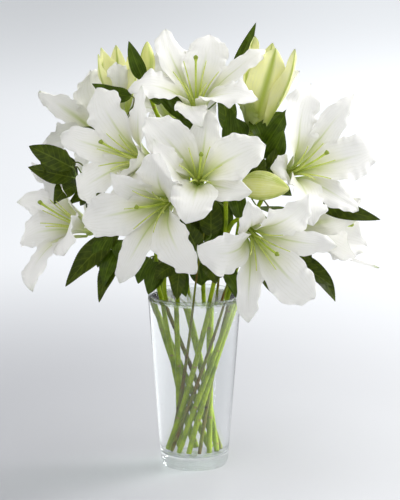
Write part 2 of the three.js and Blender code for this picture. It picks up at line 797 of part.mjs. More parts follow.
for (const bloom of BLOOMS) {
  const frame = frameOf(bloom).elements;
  const petals = bloomPetals(bloom).map(petalSolid);
  addSolid(bloom.name + "_petals", joined([receptacleSolid(), ...petals]).transform(frame), "petal");
  if (bloom.style !== false) addSolid(bloom.name + "_style", styleSolid(bloom).transform(frame), "style");
}

for (const bud of BUDS) addSolid(bud.name, budSolid(bud).transform(frameOf(bud).elements), "bud");

export default bouquet;
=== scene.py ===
"""White oriental lilies and dark leaves in a tapered vase of clear glass filled with water.

Shapes are worked out in millimetres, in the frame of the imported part, and become metres when a
piece's mesh is made. The front faces -Y and +Z is up.
"""

import logging
import math
from collections.abc import Callable
from dataclasses import dataclass
from enum import Enum, IntEnum

import bmesh
import bpy
import numpy as np
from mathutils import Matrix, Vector


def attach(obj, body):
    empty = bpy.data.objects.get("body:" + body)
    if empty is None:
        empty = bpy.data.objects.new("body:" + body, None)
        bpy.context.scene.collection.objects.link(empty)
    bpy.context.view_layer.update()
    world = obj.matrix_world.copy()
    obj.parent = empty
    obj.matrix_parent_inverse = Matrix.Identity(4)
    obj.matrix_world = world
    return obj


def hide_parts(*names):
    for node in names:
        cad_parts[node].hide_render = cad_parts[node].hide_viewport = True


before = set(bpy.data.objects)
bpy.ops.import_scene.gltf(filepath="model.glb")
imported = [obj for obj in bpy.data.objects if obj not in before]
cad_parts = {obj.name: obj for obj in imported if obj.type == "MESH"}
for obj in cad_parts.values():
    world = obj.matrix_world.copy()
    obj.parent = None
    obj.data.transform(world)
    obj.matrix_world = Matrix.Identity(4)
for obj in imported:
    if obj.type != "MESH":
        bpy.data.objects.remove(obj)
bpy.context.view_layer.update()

LOG = logging.getLogger("lilies")
BODY = "root"
METRES = 0.001

# A Field gives one value, or one point, for each pair of places along and across a shape
Point = tuple[float, float, float]
Field = Callable[[np.ndarray, np.ndarray], np.ndarray]

# The UV map and the vertex attribute of every piece, and how near two points are to be welded
CHART = "UVMap"
MARK = "mark"
WELD_MM = 0.0005

# Settings that many nodes share
SMOOTH = {"interpolation_type": "SMOOTHSTEP"}
COLOUR = {"data_type": "RGBA"}
TIMES = {"operation": "MULTIPLY"}

# Vase and water
VASE_HEIGHT = 240.0
VASE_FOOT_RADIUS = 42.0
VASE_BASE_RADIUS = 46.5
VASE_RIM_RADIUS = 64.0
VASE_HEEL_HEIGHT = 7.0
VASE_WALL = 3.4
VASE_FLOOR = 19.0
WATER_LEVEL = 234.0

# Stems
STEM_COUNT = 13
STEM_TWIST_DEG = 125.0
STEM_FOOT_RING = 27.0
STEM_MOUTH_RING = 47.0
LILY_STEM_RADIUS = 3.2
LILY_TOP_RADIUS = 2.9
SALAL_STEM_RADIUS = 2.2
SALAL_TOP_RADIUS = 1.3
STEM_FOOT_RISE = 2.6
STEM_NECK = 6.0
FIRST_MOUTH_DEG = -8.0

# Blooms
PETAL_LENGTH = 120.0
ROOT_RADIUS = 6.0
OUTER_ROOT_STEP = 2.4
OUTER_LEAN_DEG = 3.0
TUBE_LEAN_DEG = 19.0
RECEPTACLE_DEPTH = 8.0
RECEPTACLE_RISE = 1.5
SEAT_GAP = 0.3

# Veins and ribs
SALAL_VEINS = 8.0
SALAL_VEIN_SLANT = 1.5
LILY_VEIN_TURNS = 22.0
BUD_RIBS = 3
BUD_STRIPES = 33


class LeafKind(Enum):
    """The two kinds of leaf in the bouquet."""

    SALAL = "salal"
    LILY = "lily"


@dataclass(frozen=True)
class PetalPlan:
    """One petal: where its tip hangs, how far it spreads and curls, its share of the length and its twist.

    The angles are in degrees.
    """

    azimuth: float
    spread: float = 70.0
    curl: float = 32.0
    share: float = 1.0
    twist: float = 0.0


@dataclass(frozen=True)
class BloomPlan:
    """One bloom: its seat, the way it faces, and its petals, which are inner and outer by turns."""

    name: str
    seat: Point
    aim: Point
    petals: tuple[PetalPlan, ...]
    turn: float = 0.0
    size: float = 1.0
    style: bool = True
    closed: bool = False


@dataclass(frozen=True)
class BudPlan:
    """One closed bud: its seat, the way it points, its length and its radius."""

    name: str
    seat: Point
    aim: Point
    length: float
    radius: float


@dataclass(frozen=True)
class StemPlan:
    """One stem: the blooms it carries and where they branch off, or the point where a leafy stem ends."""

    name: str
    tops: tuple[str, ...] = ()
    forks: tuple[float, ...] = ()
    end: Point | None = None


@dataclass(frozen=True)
class LeafPlan:
    """One leaf: its stem, the share of the stem's curve where it leaves, its base, tip and half width."""

    stem: str
    share: float
    base: Point
    tip: Point
    half: float
    curve: int = 0
    arch: float = 8.0
    roll: float = 0.0
    wave: float = 1.6


def petals(*rows: tuple[float, ...]) -> tuple[PetalPlan, ...]:
    """The petal plans of one bloom from rows of azimuth, spread, curl, share and twist."""
    return tuple(PetalPlan(*row) for row in rows)


BLOOMS: tuple[BloomPlan, ...] = (
    BloomPlan("low_left", (-31, -91, 383), (-0.5, -0.85, -0.05), petals(
        (103, 68, 28, 1.1), (155, 68, 28, 1.15), (222, 68, 28, 1.08),
        (278, 48, 50, 0.68), (340, 55, 10, 0.92), (400, 30, 30, 0.84)), turn=102),
    BloomPlan("front", (5, -96, 409), (0.05, -0.88, 0.47), petals(
        (45, 62, 38, 1.03), (60, 30, 50, 0.84), (165, 46, 50, 0.92),
        (246, 60, 24, 0.72), (290, 62, 38, 0.97), (352, 70, 40, 0.88)), turn=49),
    BloomPlan("top", (2, -35, 490), (0, -0.45, 0.89), petals(
        (92, 68, 45, 0.95), (186, 68, 40, 0.82), (238, 62, 35, 1),
        (303, 64, 22, 1.12), (348, 58, 25, 1), (381, 64, 25, 1.15)), turn=103),
    BloomPlan("low_right", (70, -92, 347), (0.42, -0.84, -0.34), petals(
        (80, 66, 30, 1.1), (178, 70, 28, 1.13), (226, 60, 25, 1.16),
        (268, 64, 28, 1.04), (332, 55, 35, 1), (388, 54, 40, 0.85)), turn=97),
    BloomPlan("right", (125, -44, 412), (0.58, -0.73, 0.34), petals(
        (-85, 60, 28, 1.12), (-42, 58, 20, 1.16), (-10, 66, 25, 1.12),
        (84, 52, 60, 0.55), (168, 60, 50, 0.86), (222, 64, 28, 0.93)), turn=-92),
    BloomPlan("left", (-62, -64, 431), (-0.72, -0.62, 0.3), petals(
        (36, 58, 35, 1.05, 20), (85, 60, 28, 1.14), (130, 70, 38, 0.98),
        (165, 62, 40, 0.62), (195, 33, 10, 0.54), (347, 62, 28, 0.95)), turn=24),
    BloomPlan("far_left", (-141, -8, 329), (-0.81, -0.4, 0.42), petals(
        (58, 44, 20, 1, -40), (92, 54, 20, 1), (136, 46, 30, 0.86),
        (209, 64, 20, 1.2, -40), (236, 56, 40, 0.85), (320, 75, 40, 0.5)), turn=10),
    BloomPlan("opening", (79, 4, 458), (0.21, -0.08, 0.97), petals(
        (-10, 15, -24, 1.1), (72, 22, 70, 0.5), (116, 14, -26, 1.08),
        (158, 15, -20, 1.12), (205, 22, -2, 0.86), (290, 15, -22, 1.05)), turn=-12, closed=True),
    BloomPlan("far_right", (131, 14, 327), (0.94, -0.22, 0), petals(
        (15, 36, -30, 0.9), (62, 34, -20, 0.95), (120, 30, -5, 0.9),
        (176, 19, -8, 1.08), (240, 30, 6, 0.95), (300, 32, 8, 0.9))),
    BloomPlan("opening_left", (-98, 14, 486), (-0.08, -0.05, 0.99), petals(
        (0, 15, -20), (60, 14, -14, 1.15), (120, 14, -22, 1.15),
        (180, 15, -18, 1.1), (240, 20, 4), (300, 16, -18, 1.1)), size=0.66, style=False, closed=True),
    BloomPlan("back_left", (-116, 50, 440), (-0.6, 0.5, 0.62), petals(
        (-22, 50, 25, 0.9), (45, 76, 32, 0.66), (105, 70, 32, 0.8),
        (168, 80, 50, 0.8), (234, 72, 30, 0.95), (291, 56, 16, 1.1, -50)), turn=-15),
    BloomPlan("back", (-30, 80, 468), (-0.15, 0.72, 0.67), petals(
        (0, 70, 32), (36, 46, 32, 0.75), (136, 70, 32),
        (180, 70, 32), (248, 62, 32, 0.75), (308, 62, 32, 0.75))),
)

BUDS: tuple[BudPlan, ...] = (
    BudPlan("bud_right", (62, -88, 404), (0.86, -0.48, 0.0), length=70, radius=19),
    BudPlan("bud_back", (-63, 55, 528), (-0.03, 0.15, 0.98), length=50, radius=10),
)

STEMS: tuple[StemPlan, ...] = (
    StemPlan("stem_1", ("right", "far_right"), (0.35,)),
    StemPlan("stem_2", ("opening",)),
    StemPlan("salal_back", end=(50, 130, 440)),
    StemPlan("stem_3", ("back", "bud_back"), (0.6,)),
    StemPlan("stem_4", ("back_left", "opening_left"), (0.6,)),
    StemPlan("salal_left", end=(-158, -14, 402)),
    StemPlan("stem_5", ("far_left",)),
    StemPlan("stem_6", ("left",)),
    StemPlan("stem_7", ("low_left",)),
    StemPlan("stem_8", ("top", "front"), (0.45,)),
    StemPlan("salal_front", end=(16, -55, 350)),
    StemPlan("stem_9", ("low_right", "bud_right"), (0.5,)),
    StemPlan("salal_right", end=(158, -6, 350)),
)

LEAVES: tuple[LeafPlan, ...] = (
    LeafPlan("salal_left", 1, (-163, -36, 419), (-221, -25, 446), 16),
    LeafPlan("salal_left", 0.93, (-160, -42, 406), (-223, -22, 417), 15, arch=-3),
    LeafPlan("salal_left", 0.86, (-160, 14, 412), (-180, 32, 372), 17, arch=-3),
    LeafPlan("salal_left", 0.76, (-161, 15, 418), (-208, 24, 392), 16),
    LeafPlan("salal_left", 0.8, (-127, 0, 450), (-157, -5, 467), 12),
    LeafPlan("salal_left", 0.5, (-103, -20, 328), (-174, -35, 256), 18),
    LeafPlan("salal_left", 0.4, (-100, -25, 305), (-129, -30, 233), 13),
    LeafPlan("salal_right", 1, (166, -30, 369), (247, -64, 353), 13, roll=35),
    LeafPlan("salal_right", 0.55, (129, -10, 291), (191, -20, 232), 15, arch=20),
    LeafPlan("salal_right", 0.5, (128, -28, 286), (185, -35, 257), 13),
    LeafPlan("salal_right", 0.7, (90, -35, 388), (108, -30, 444), 15),
    LeafPlan("salal_right", 0.6, (74, -42, 392), (90, -42, 443), 14),
    LeafPlan("salal_right", 0.25, (80, -58, 287), (102, -65, 255), 9),
    LeafPlan("salal_right", 0.85, (150, 30, 346), (188, 70, 362), 16),
    LeafPlan("salal_front", 0.6, (22, -55, 330), (20, -55, 388), 16),
    LeafPlan("salal_front", 0.4, (3, -58, 310), (-18, -76, 356), 15),
    LeafPlan("stem_7", 0.12, (-44, -50, 285), (-62, -56, 250), 14),
    LeafPlan("salal_front", 0.3, (-19, -70, 289), (-23, -78, 247), 11),
    LeafPlan("salal_front", 0.35, (-28, -62, 290), (-54, -67, 271), 11),
    LeafPlan("stem_9", 0.12, (42, -58, 280), (61, -68, 246), 10),
    LeafPlan("stem_8", 0.8, (-6, 0, 478), (-59, 0, 523), 15),
    LeafPlan("stem_8", 0.7, (8, -10, 452), (-38, -40, 485), 12),
    LeafPlan("stem_8", 0.65, (48, -20, 440), (47, -20, 498), 14),
    LeafPlan("stem_3", 0.8, (50, 28, 525), (83, 30, 606), 10),
    LeafPlan("stem_4", 0.8, (-84, -20, 512), (-136, -27, 530), 12, curve=1, roll=-40),
    LeafPlan("stem_4", 0.9, (-68, -14, 534), (-87, -20, 586), 11, curve=1),
    LeafPlan("stem_2", 0.7, (91, -5, 438), (127, -10, 496), 13),
    LeafPlan("salal_back", 1, (45, 136, 445), (29, 163, 520), 18),
    LeafPlan("salal_back", 0.95, (66, 128, 430), (125, 140, 470), 18),
    LeafPlan("salal_back", 0.6, (80, 90, 340), (150, 125, 310), 18),
    LeafPlan("salal_back", 0.5, (0, 95, 330), (-60, 135, 290), 18),
    LeafPlan("stem_2", 0.15, (56, 50, 285), (88, 90, 242), 15),
)

# Leaves that fill the shade under and between the blooms, where only their dark faces show
INNER_LEAVES: tuple[LeafPlan, ...] = (
    LeafPlan("salal_front", 0.97, (14, -40, 369), (2, -48, 312), 17),
    LeafPlan("stem_9", 0.44, (28, -35, 375), (45, -42, 327), 16, curve=1),
    LeafPlan("stem_8", 0.48, (-11, -30, 374), (-17, -40, 321), 15),
    LeafPlan("stem_9", 0.19, (37, -30, 344), (16, -46, 292), 16, curve=1),
    LeafPlan("stem_8", 0.32, (-6, -30, 330), (-25, -50, 288), 15),
    LeafPlan("stem_9", 0.51, (50, -30, 387), (61, -36, 345), 14, curve=1),
    LeafPlan("stem_7", 0.28, (-46, -52, 293), (-59, -66, 255), 13),
    LeafPlan("stem_8", 0.18, (-25, -58, 292), (-11, -72, 250), 13),
    LeafPlan("salal_front", 0.40, (16, -50, 293), (29, -64, 266), 12),
    LeafPlan("stem_9", 0.29, (42, -48, 287), (56, -60, 246), 11),
    LeafPlan("stem_6", 0.22, (-60, -20, 293), (-76, -30, 259), 14),
    LeafPlan("stem_8", 0.17, (2, -10, 291), (10, -4, 251), 15),
    LeafPlan("salal_left", 0.21, (-39, 20, 296), (-48, 34, 251), 15),
    LeafPlan("stem_2", 0.18, (35, 25, 288), (52, 38, 247), 15),
    LeafPlan("salal_left", 0.97, (-167, -10, 400), (-207, -20, 426), 17),
    LeafPlan("salal_left", 0.95, (-159, -16, 390), (-188, -30, 368), 16),
    LeafPlan("salal_left", 0.79, (-138, -10, 376), (-121, -24, 354), 14),
    LeafPlan("salal_left", 0.97, (-177, 20, 434), (-204, 10, 405), 15),
    LeafPlan("salal_left", 0.75, (-128, 10, 381), (-155, 4, 360), 15),
    LeafPlan("stem_1", 0.93, (99, -20, 426), (119, -26, 468), 15),
    LeafPlan("stem_1", 0.82, (96, -30, 393), (114, -34, 431), 14),
    LeafPlan("stem_1", 0.77, (104, -26, 387), (130, -40, 381), 13),
    LeafPlan("stem_2", 0.97, (77, -6, 481), (91, -10, 444), 13),
    LeafPlan("stem_8", 0.9, (-44, -8, 502), (-67, -10, 523), 10),
    LeafPlan("stem_8", 0.86, (-8, -8, 474), (-38, -12, 510), 11),
    LeafPlan("stem_5", 0.72, (-114, -20, 323), (-130, -34, 282), 15),
    LeafPlan("stem_6", 0.32, (-95, -24, 318), (-100, -40, 291), 13),
    LeafPlan("salal_right", 0.60, (124, -10, 310), (159, -24, 288), 14),
    LeafPlan("salal_right", 0.43, (94, -20, 304), (91, -32, 270), 12),
    LeafPlan("salal_right", 0.97, (143, 0, 382), (167, -6, 364), 14),
    LeafPlan("salal_left", 0.72, (-122, -10, 386), (-169, -18, 366), 13),
    LeafPlan("stem_9", 0.13, (46, -46, 288), (10, -54, 268), 12),
    LeafPlan("stem_1", 0.72, (88, -28, 400), (124, -32, 408), 13),
    LeafPlan("salal_right", 0.55, (126, -16, 302), (158, -30, 270), 13),
    LeafPlan("stem_2", 0.9, (66, -8, 452), (50, -12, 484), 11),
    LeafPlan("stem_5", 0.6, (-104, -28, 306), (-122, -36, 256), 13),
    LeafPlan("stem_7", 0.5, (-24, -50, 352), (-4, -56, 322), 13),
)


# Small mathematics


def smooth(x: np.ndarray | float) -> np.ndarray:
    """An even rise from 0 to 1 as x goes from 0 to 1."""
    c = np.clip(x, 0.0, 1.0)
    return c * c * (3.0 - 2.0 * c)


def unit(v: np.ndarray) -> np.ndarray:
    """The vectors in the rows of v, each made one long."""
    return v / np.linalg.norm(v, axis=-1, keepdims=True)


def square_to(v: np.ndarray, along: np.ndarray) -> np.ndarray:
    """The part of each v that is at right angles to along, made one long."""
    return unit(v - np.sum(v * along, axis=-1, keepdims=True) * along)


def turned(v: np.ndarray, axis: np.ndarray, angle: np.ndarray | float) -> np.ndarray:
    """Each v, which is at right angles to its axis, turned about that axis by an angle in radians."""
    a = np.reshape(angle, (-1, 1)) if np.ndim(angle) else angle
    return v * np.cos(a) + np.cross(axis, v) * np.sin(a)


def reach_along(points: np.ndarray) -> np.ndarray:
    """The length of a path from its start to each of its points."""
    return np.concatenate([[0.0], np.cumsum(np.linalg.norm(np.diff(points, axis=0), axis=1))])


def linear(colour: str) -> tuple[float, float, float, float]:
    """A colour written as #rrggbb, as the linear values that a shader takes.

    Args:
        colour: the sRGB colour in hex.

    Returns:
        Linear red, green, blue and an alpha of 1.
    """
    parts = [int(colour[i : i + 2], 16) / 255 for i in (1, 3, 5)]
    bright = [c / 12.92 if c <= 0.04045 else ((c + 0.055) / 1.055) ** 2.4 for c in parts]
    return (*bright, 1.0)


def per_metre(size_mm: float) -> float:
    """The scale of a texture on Object coordinates whose features are size_mm apart."""
    return 1.0 / (size_mm * METRES)


@dataclass(frozen=True)
class Bezier:
    """A cubic curve through four points."""

    start: np.ndarray
    first: np.ndarray
    second: np.ndarray
    end: np.ndarray

    def point(self, t: np.ndarray | float) -> np.ndarray:
        """The points of the curve.

        Args:
            t: shares of the curve, from 0 to 1.

        Returns:
            One point for each share.
        """
        s = np.reshape(t, (-1, 1)) if np.ndim(t) else t
        r = 1.0 - s
        return (
            r**3 * self.start + 3 * r * r * s * self.first + 3 * r * s * s * self.second + s**3 * self.end
        )

    def tangent(self, t: float) -> np.ndarray:
        """The way the curve goes.

        Args:
            t: the share of the curve.

        Returns:
            The direction, one long.
        """
        r = 1.0 - t
        way = (
            r * r * (self.first - self.start)
            + 2 * r * t * (self.second - self.first)
            + t * t * (self.end - self.second)
        )
        return unit(way)


def bloom_axes(seat: Point, aim: Point) -> tuple[np.ndarray, np.ndarray]:
    """The frame of a bloom or bud.

    Args:
        seat: where the petals rise.
        aim: the way the bloom faces.

    Returns:
        The seat, and a matrix whose rows are the bloom's X (upwards), Y and Z (facing).
    """
    facing = unit(np.array(aim, float))
    upwards = square_to(np.array([0.0, 0.0, 1.0]), facing)
    return np.array(seat, float), np.array([upwards, np.cross(facing, upwards), facing])


def rounded(profile: list[tuple[float, float, float]], steps: int) -> list[tuple[float, float]]:
    """A profile whose corners are rounded.

    Args:
        profile: radius, height and how far before and after each corner its rounding reaches.
        steps: points in each rounding.

    Returns:
        The points of radius and height.
    """
    made: list[tuple[float, float]] = []
    points = [np.array(p[:2], float) for p in profile]
    for k, (here, row) in enumerate(zip(points, profile)):
        reach = row[2]
        if reach <= 0 or k in (0, len(points) - 1):
            made.append(tuple(here))
            continue
        before = here + unit(points[k - 1] - here) * reach
        after = here + unit(points[k + 1] - here) * reach
        for i in range(steps + 1):
            t = i / steps
            made.append(tuple((1 - t) ** 2 * before + 2 * t * (1 - t) * here + t * t * after))
    return made


# Meshes


class PieceMesh:
    """Grids wrapped into closed shapes and gathered as one mesh, in millimetres."""

    def __init__(self) -> None:
        """An empty mesh with a UV map and a mark on each vertex."""
        self.bm = bmesh.new()
        self.uv = self.bm.loops.layers.uv.new(CHART)
        self.mark = self.bm.verts.layers.float.new(MARK)

    def wrap(
        self,
        rows: int,
        columns: int,
        place: Field,
        chart: Callable[[np.ndarray, np.ndarray], tuple[np.ndarray, np.ndarray]],
        slots: tuple[int, int],
        mark: Field | None = None,
    ) -> None:
        """Adds one grid, bent into shape and welded where its edges meet.

        Args:
            rows: steps along the shape.
            columns: steps round it.
            place: gives the points for shares along and round.
            chart: gives the UV coordinates for the same shares.
            slots: the material slots of the first and the second half round the shape.
            mark: gives the mark of each vertex.
        """
        first_face = len(self.bm.faces)
        made = bmesh.ops.create_grid(self.bm, x_segments=rows, y_segments=columns, size=0.5)["verts"]
        u = np.array([v.co.x for v in made]) + 0.5
        w = np.array([v.co.y for v in made]) + 0.5
        self.bm.faces.ensure_lookup_table()
        faces = self.bm.faces[first_face:]
        for k, vert in enumerate(made):
            vert.index = k
        across, up = chart(u, w)
        for face in faces:
            ids = [loop.vert.index for loop in face.loops]
            face.material_index = slots[0] if w[ids].mean() < 0.5 else slots[1]
            face.smooth = True
            for loop, k in zip(face.loops, ids):
                loop[self.uv].uv = (across[k], up[k])
        for vert, point in zip(made, place(u, w).tolist()):
            vert.co = point
        if mark is not None:
            for vert, value in zip(made, mark(u, w).tolist()):
                vert[self.mark] = value
        bmesh.ops.remove_doubles(self.bm, verts=made, dist=WELD_MM)

    def tube(
        self, path: np.ndarray, radius: Field, sides: int, slot: int = 0, mark: Field | None = None
    ) -> None:
        """Adds a closed tube along a path.

        Args:
            path: the points of the middle line.
            radius: gives the radius for the row's number and the angle round.
            sides: steps round.
            slot: the material slot.
            mark: gives the mark for the row's number and the angle round.
        """
        path = np.vstack([path[:1], path, path[-1:]])
        rows = len(path) - 1
        way = np.gradient(path[1:-1], axis=0)
        way = unit(np.vstack([way[:1], way, way[-1:]]))
        across = np.empty_like(path)
        steep = abs(way[0][2]) > 0.8
        start = np.array([1.0, 0, 0]) if steep else np.array([0, 0, 1.0])
        for i in range(rows + 1):
            start = square_to(start, way[i])
            across[i] = start
        third = np.cross(way, across)
        length = reach_along(path)

        def row_of(u: np.ndarray) -> np.ndarray:
            """The number of the ring at each share."""
            return np.rint(u * rows).astype(int)

        def place(u: np.ndarray, w: np.ndarray) -> np.ndarray:
            """The tube's points, where the first and last rings are closed to a point.

            Args:
                u: shares along the tube.
                w: shares round it.

            Returns:
                One point for each pair.
            """
            i = row_of(u)
            turn = 2 * math.pi * w
            reach = radius(np.clip(i - 1, 0, rows - 2), turn) * ((i > 0) & (i < rows))
            ring = across[i] * np.cos(turn)[:, None] + third[i] * np.sin(turn)[:, None]
            return path[i] + ring * reach[:, None]

        def chart(u: np.ndarray, w: np.ndarray) -> tuple[np.ndarray, np.ndarray]:
            """Centimetres along the tube, and the share round it."""
            return length[row_of(u)] / 10.0, w

        def marks(u: np.ndarray, w: np.ndarray) -> np.ndarray:
            """The mark at each share."""
            return mark(np.clip(row_of(u) - 1, 0, rows - 2), 2 * math.pi * w)

        self.wrap(rows, sides, place, chart, (slot, slot), marks if mark else None)

    def blade(
        self,
        spine: tuple[np.ndarray, np.ndarray, np.ndarray],
        half: Field,
        bend: np.ndarray,
        lift: Field,
        stand: Callable[[np.ndarray, np.ndarray, np.ndarray], np.ndarray],
        columns: int,
        slots: tuple[int, int],
    ) -> None:
        """Adds a petal or leaf: a thin closed blade with an upper and a lower face.

        Args:
            spine: the rows' middle points, side vectors and upward vectors.
            half: gives half the width for shares along and across, -1 to 1.
            bend: half the angle of the arc that each row makes, in radians.
            lift: gives the height of the middle surface for shares along and across, -1 to 1.
            stand: gives how far each face stands off the middle surface, for shares along and
                across and whether the face is the upper one.
            columns: steps across each face.
            slots: the material slots of the upper and lower faces.
        """
        centre, side, up = spine
        rows = len(centre) - 1
        bend = np.where(np.abs(bend) < 0.01, 0.01, bend)

        def across(w: np.ndarray) -> tuple[np.ndarray, np.ndarray]:
            """Where a share round the blade lies, with narrow steps at the edges.

            Args:
                w: shares round the blade.

            Returns:
                The place across, from -1 to 1, and whether it is on the upper face.
            """
            upper = w <= 0.5 + 1e-9
            even = np.where(upper, 4 * w - 1, 3 - 4 * w)
            return np.sin(even * math.pi / 2), upper

        def place(u: np.ndarray, w: np.ndarray) -> np.ndarray:
            """The points of the upper and lower faces.

            Args:
                u: shares along the blade.
                w: shares round it.

            Returns:
                One point for each pair.
            """
            i = np.rint(u * rows).astype(int)
            v, upper = across(w)
            arc = bend[i] * v
            wide = half(u, v)
            away = np.where(upper, 1.0, -1.0) * stand(u, v, upper)
            out = wide * np.sin(arc) / bend[i] - away * np.sin(arc)
            rise = wide * (1 - np.cos(arc)) / bend[i] + lift(u, v) + away * np.cos(arc)
            return centre[i] + side[i] * out[:, None] + up[i] * rise[:, None]

        def chart(u: np.ndarray, w: np.ndarray) -> tuple[np.ndarray, np.ndarray]:
            """The share along, and the share across from 0 to 1."""
            return u, (across(w)[0] + 1) / 2

        self.wrap(rows, 2 * columns, place, chart, slots)

    def lathe(self, profile: list[tuple[float, float]], segments: int, slot: int = 0) -> None:
        """Adds a solid turned round +Z.

        Args:
            profile: radius and height of each ring, from the axis back to the axis.
            segments: steps round.
            slot: the material slot.
        """
        radii, heights = np.array(profile, float).T
        rows = len(profile) - 1
        reach = reach_along(np.array(profile, float))

        def place(u: np.ndarray, w: np.ndarray) -> np.ndarray:
            """The points of the profile, turned round the axis.

            Args:
                u: shares along the profile.
                w: shares round the axis.

            Returns:
                One point for each pair.
            """
            i = np.rint(u * rows).astype(int)
            turn = 2 * math.pi * w
            return np.stack([radii[i] * np.cos(turn), radii[i] * np.sin(turn), heights[i]], axis=1)

        def chart(u: np.ndarray, w: np.ndarray) -> tuple[np.ndarray, np.ndarray]:
            """Centimetres along the profile, and the share round it."""
            return reach[np.rint(u * rows).astype(int)] / 10.0, w

        self.wrap(rows, segments, place, chart, (slot, slot))

    def move(self, seat: np.ndarray, axes: np.ndarray) -> None:
        """Puts everything made so far from the frame of a bloom into the frame of the part."""
        for vert in self.bm.verts:
            vert.co = seat + np.array(vert.co) @ axes

    def finish(
        self, name: str, finishes: list[bpy.types.Material], nodes: list[str], slot: str
    ) -> bpy.types.Object:
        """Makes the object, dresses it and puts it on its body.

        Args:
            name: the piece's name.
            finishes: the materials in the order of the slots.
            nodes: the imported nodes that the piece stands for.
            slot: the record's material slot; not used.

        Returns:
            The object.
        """
        bmesh.ops.recalc_face_normals(self.bm, faces=self.bm.faces)
        bmesh.ops.scale(self.bm, vec=(METRES, METRES, METRES), verts=self.bm.verts)
        mesh = bpy.data.meshes.new(name)
        self.bm.to_mesh(mesh)
        self.bm.free()
        for finish in finishes:
            mesh.materials.append(finish)
        piece = bpy.data.objects.new(name, mesh)
        bpy.context.scene.collection.objects.link(piece)
        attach(piece, BODY)
        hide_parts(*nodes)
        return piece


# Finishes


class Graph:
    """The nodes that dress one material or the surroundings."""

    def __init__(self, owner: bpy.types.Material | bpy.types.World) -> None:
        """Takes the owner's node tree and empties it.

        Args:
            owner: what the nodes dress.
        """
        owner.use_nodes = True
        self.tree = owner.node_tree
        self.tree.nodes.clear()

    def add(
        self, kind: str, inputs: dict[int | str, object], output: int | str = 0, **settings: object
    ) -> bpy.types.NodeSocket | None:
        """Adds a node with its settings and links.

        Args:
            kind: the node's type without its ShaderNode prefix.
            inputs: what each socket takes, a value or another node's socket.
            output: the socket to return.
            **settings: the node's own properties.

        Returns:
            The output socket, or nothing for a node that has none.
        """
        node = self.tree.nodes.new("ShaderNode" + kind)
        for key, value in settings.items():
            setattr(node, key, value)
        for key, value in inputs.items():
            if isinstance(value, bpy.types.NodeSocket):
                self.tree.links.new(value, node.inputs[key])
            else:
                node.inputs[key].default_value = value
        return node.outputs[output] if len(node.outputs) else None

    def blade_chart(self) -> tuple[bpy.types.NodeSocket, bpy.types.NodeSocket, bpy.types.NodeSocket]:
        """The places on a petal or leaf.

        Returns:
            The share along it, the distance from its midline from 0 to 1, and the place across
            it from -1 to 1.
        """
        along = self.add("SeparateXYZ", {0: self.add("UVMap", {}, uv_map=CHART)}, "X")
        across = self.add("Math", {0: along.node.outputs["Y"], 1: 2.0, 2: -1.0}, operation="MULTIPLY_ADD")
        return along, self.add("Math", {0: across}, operation="ABSOLUTE"), across


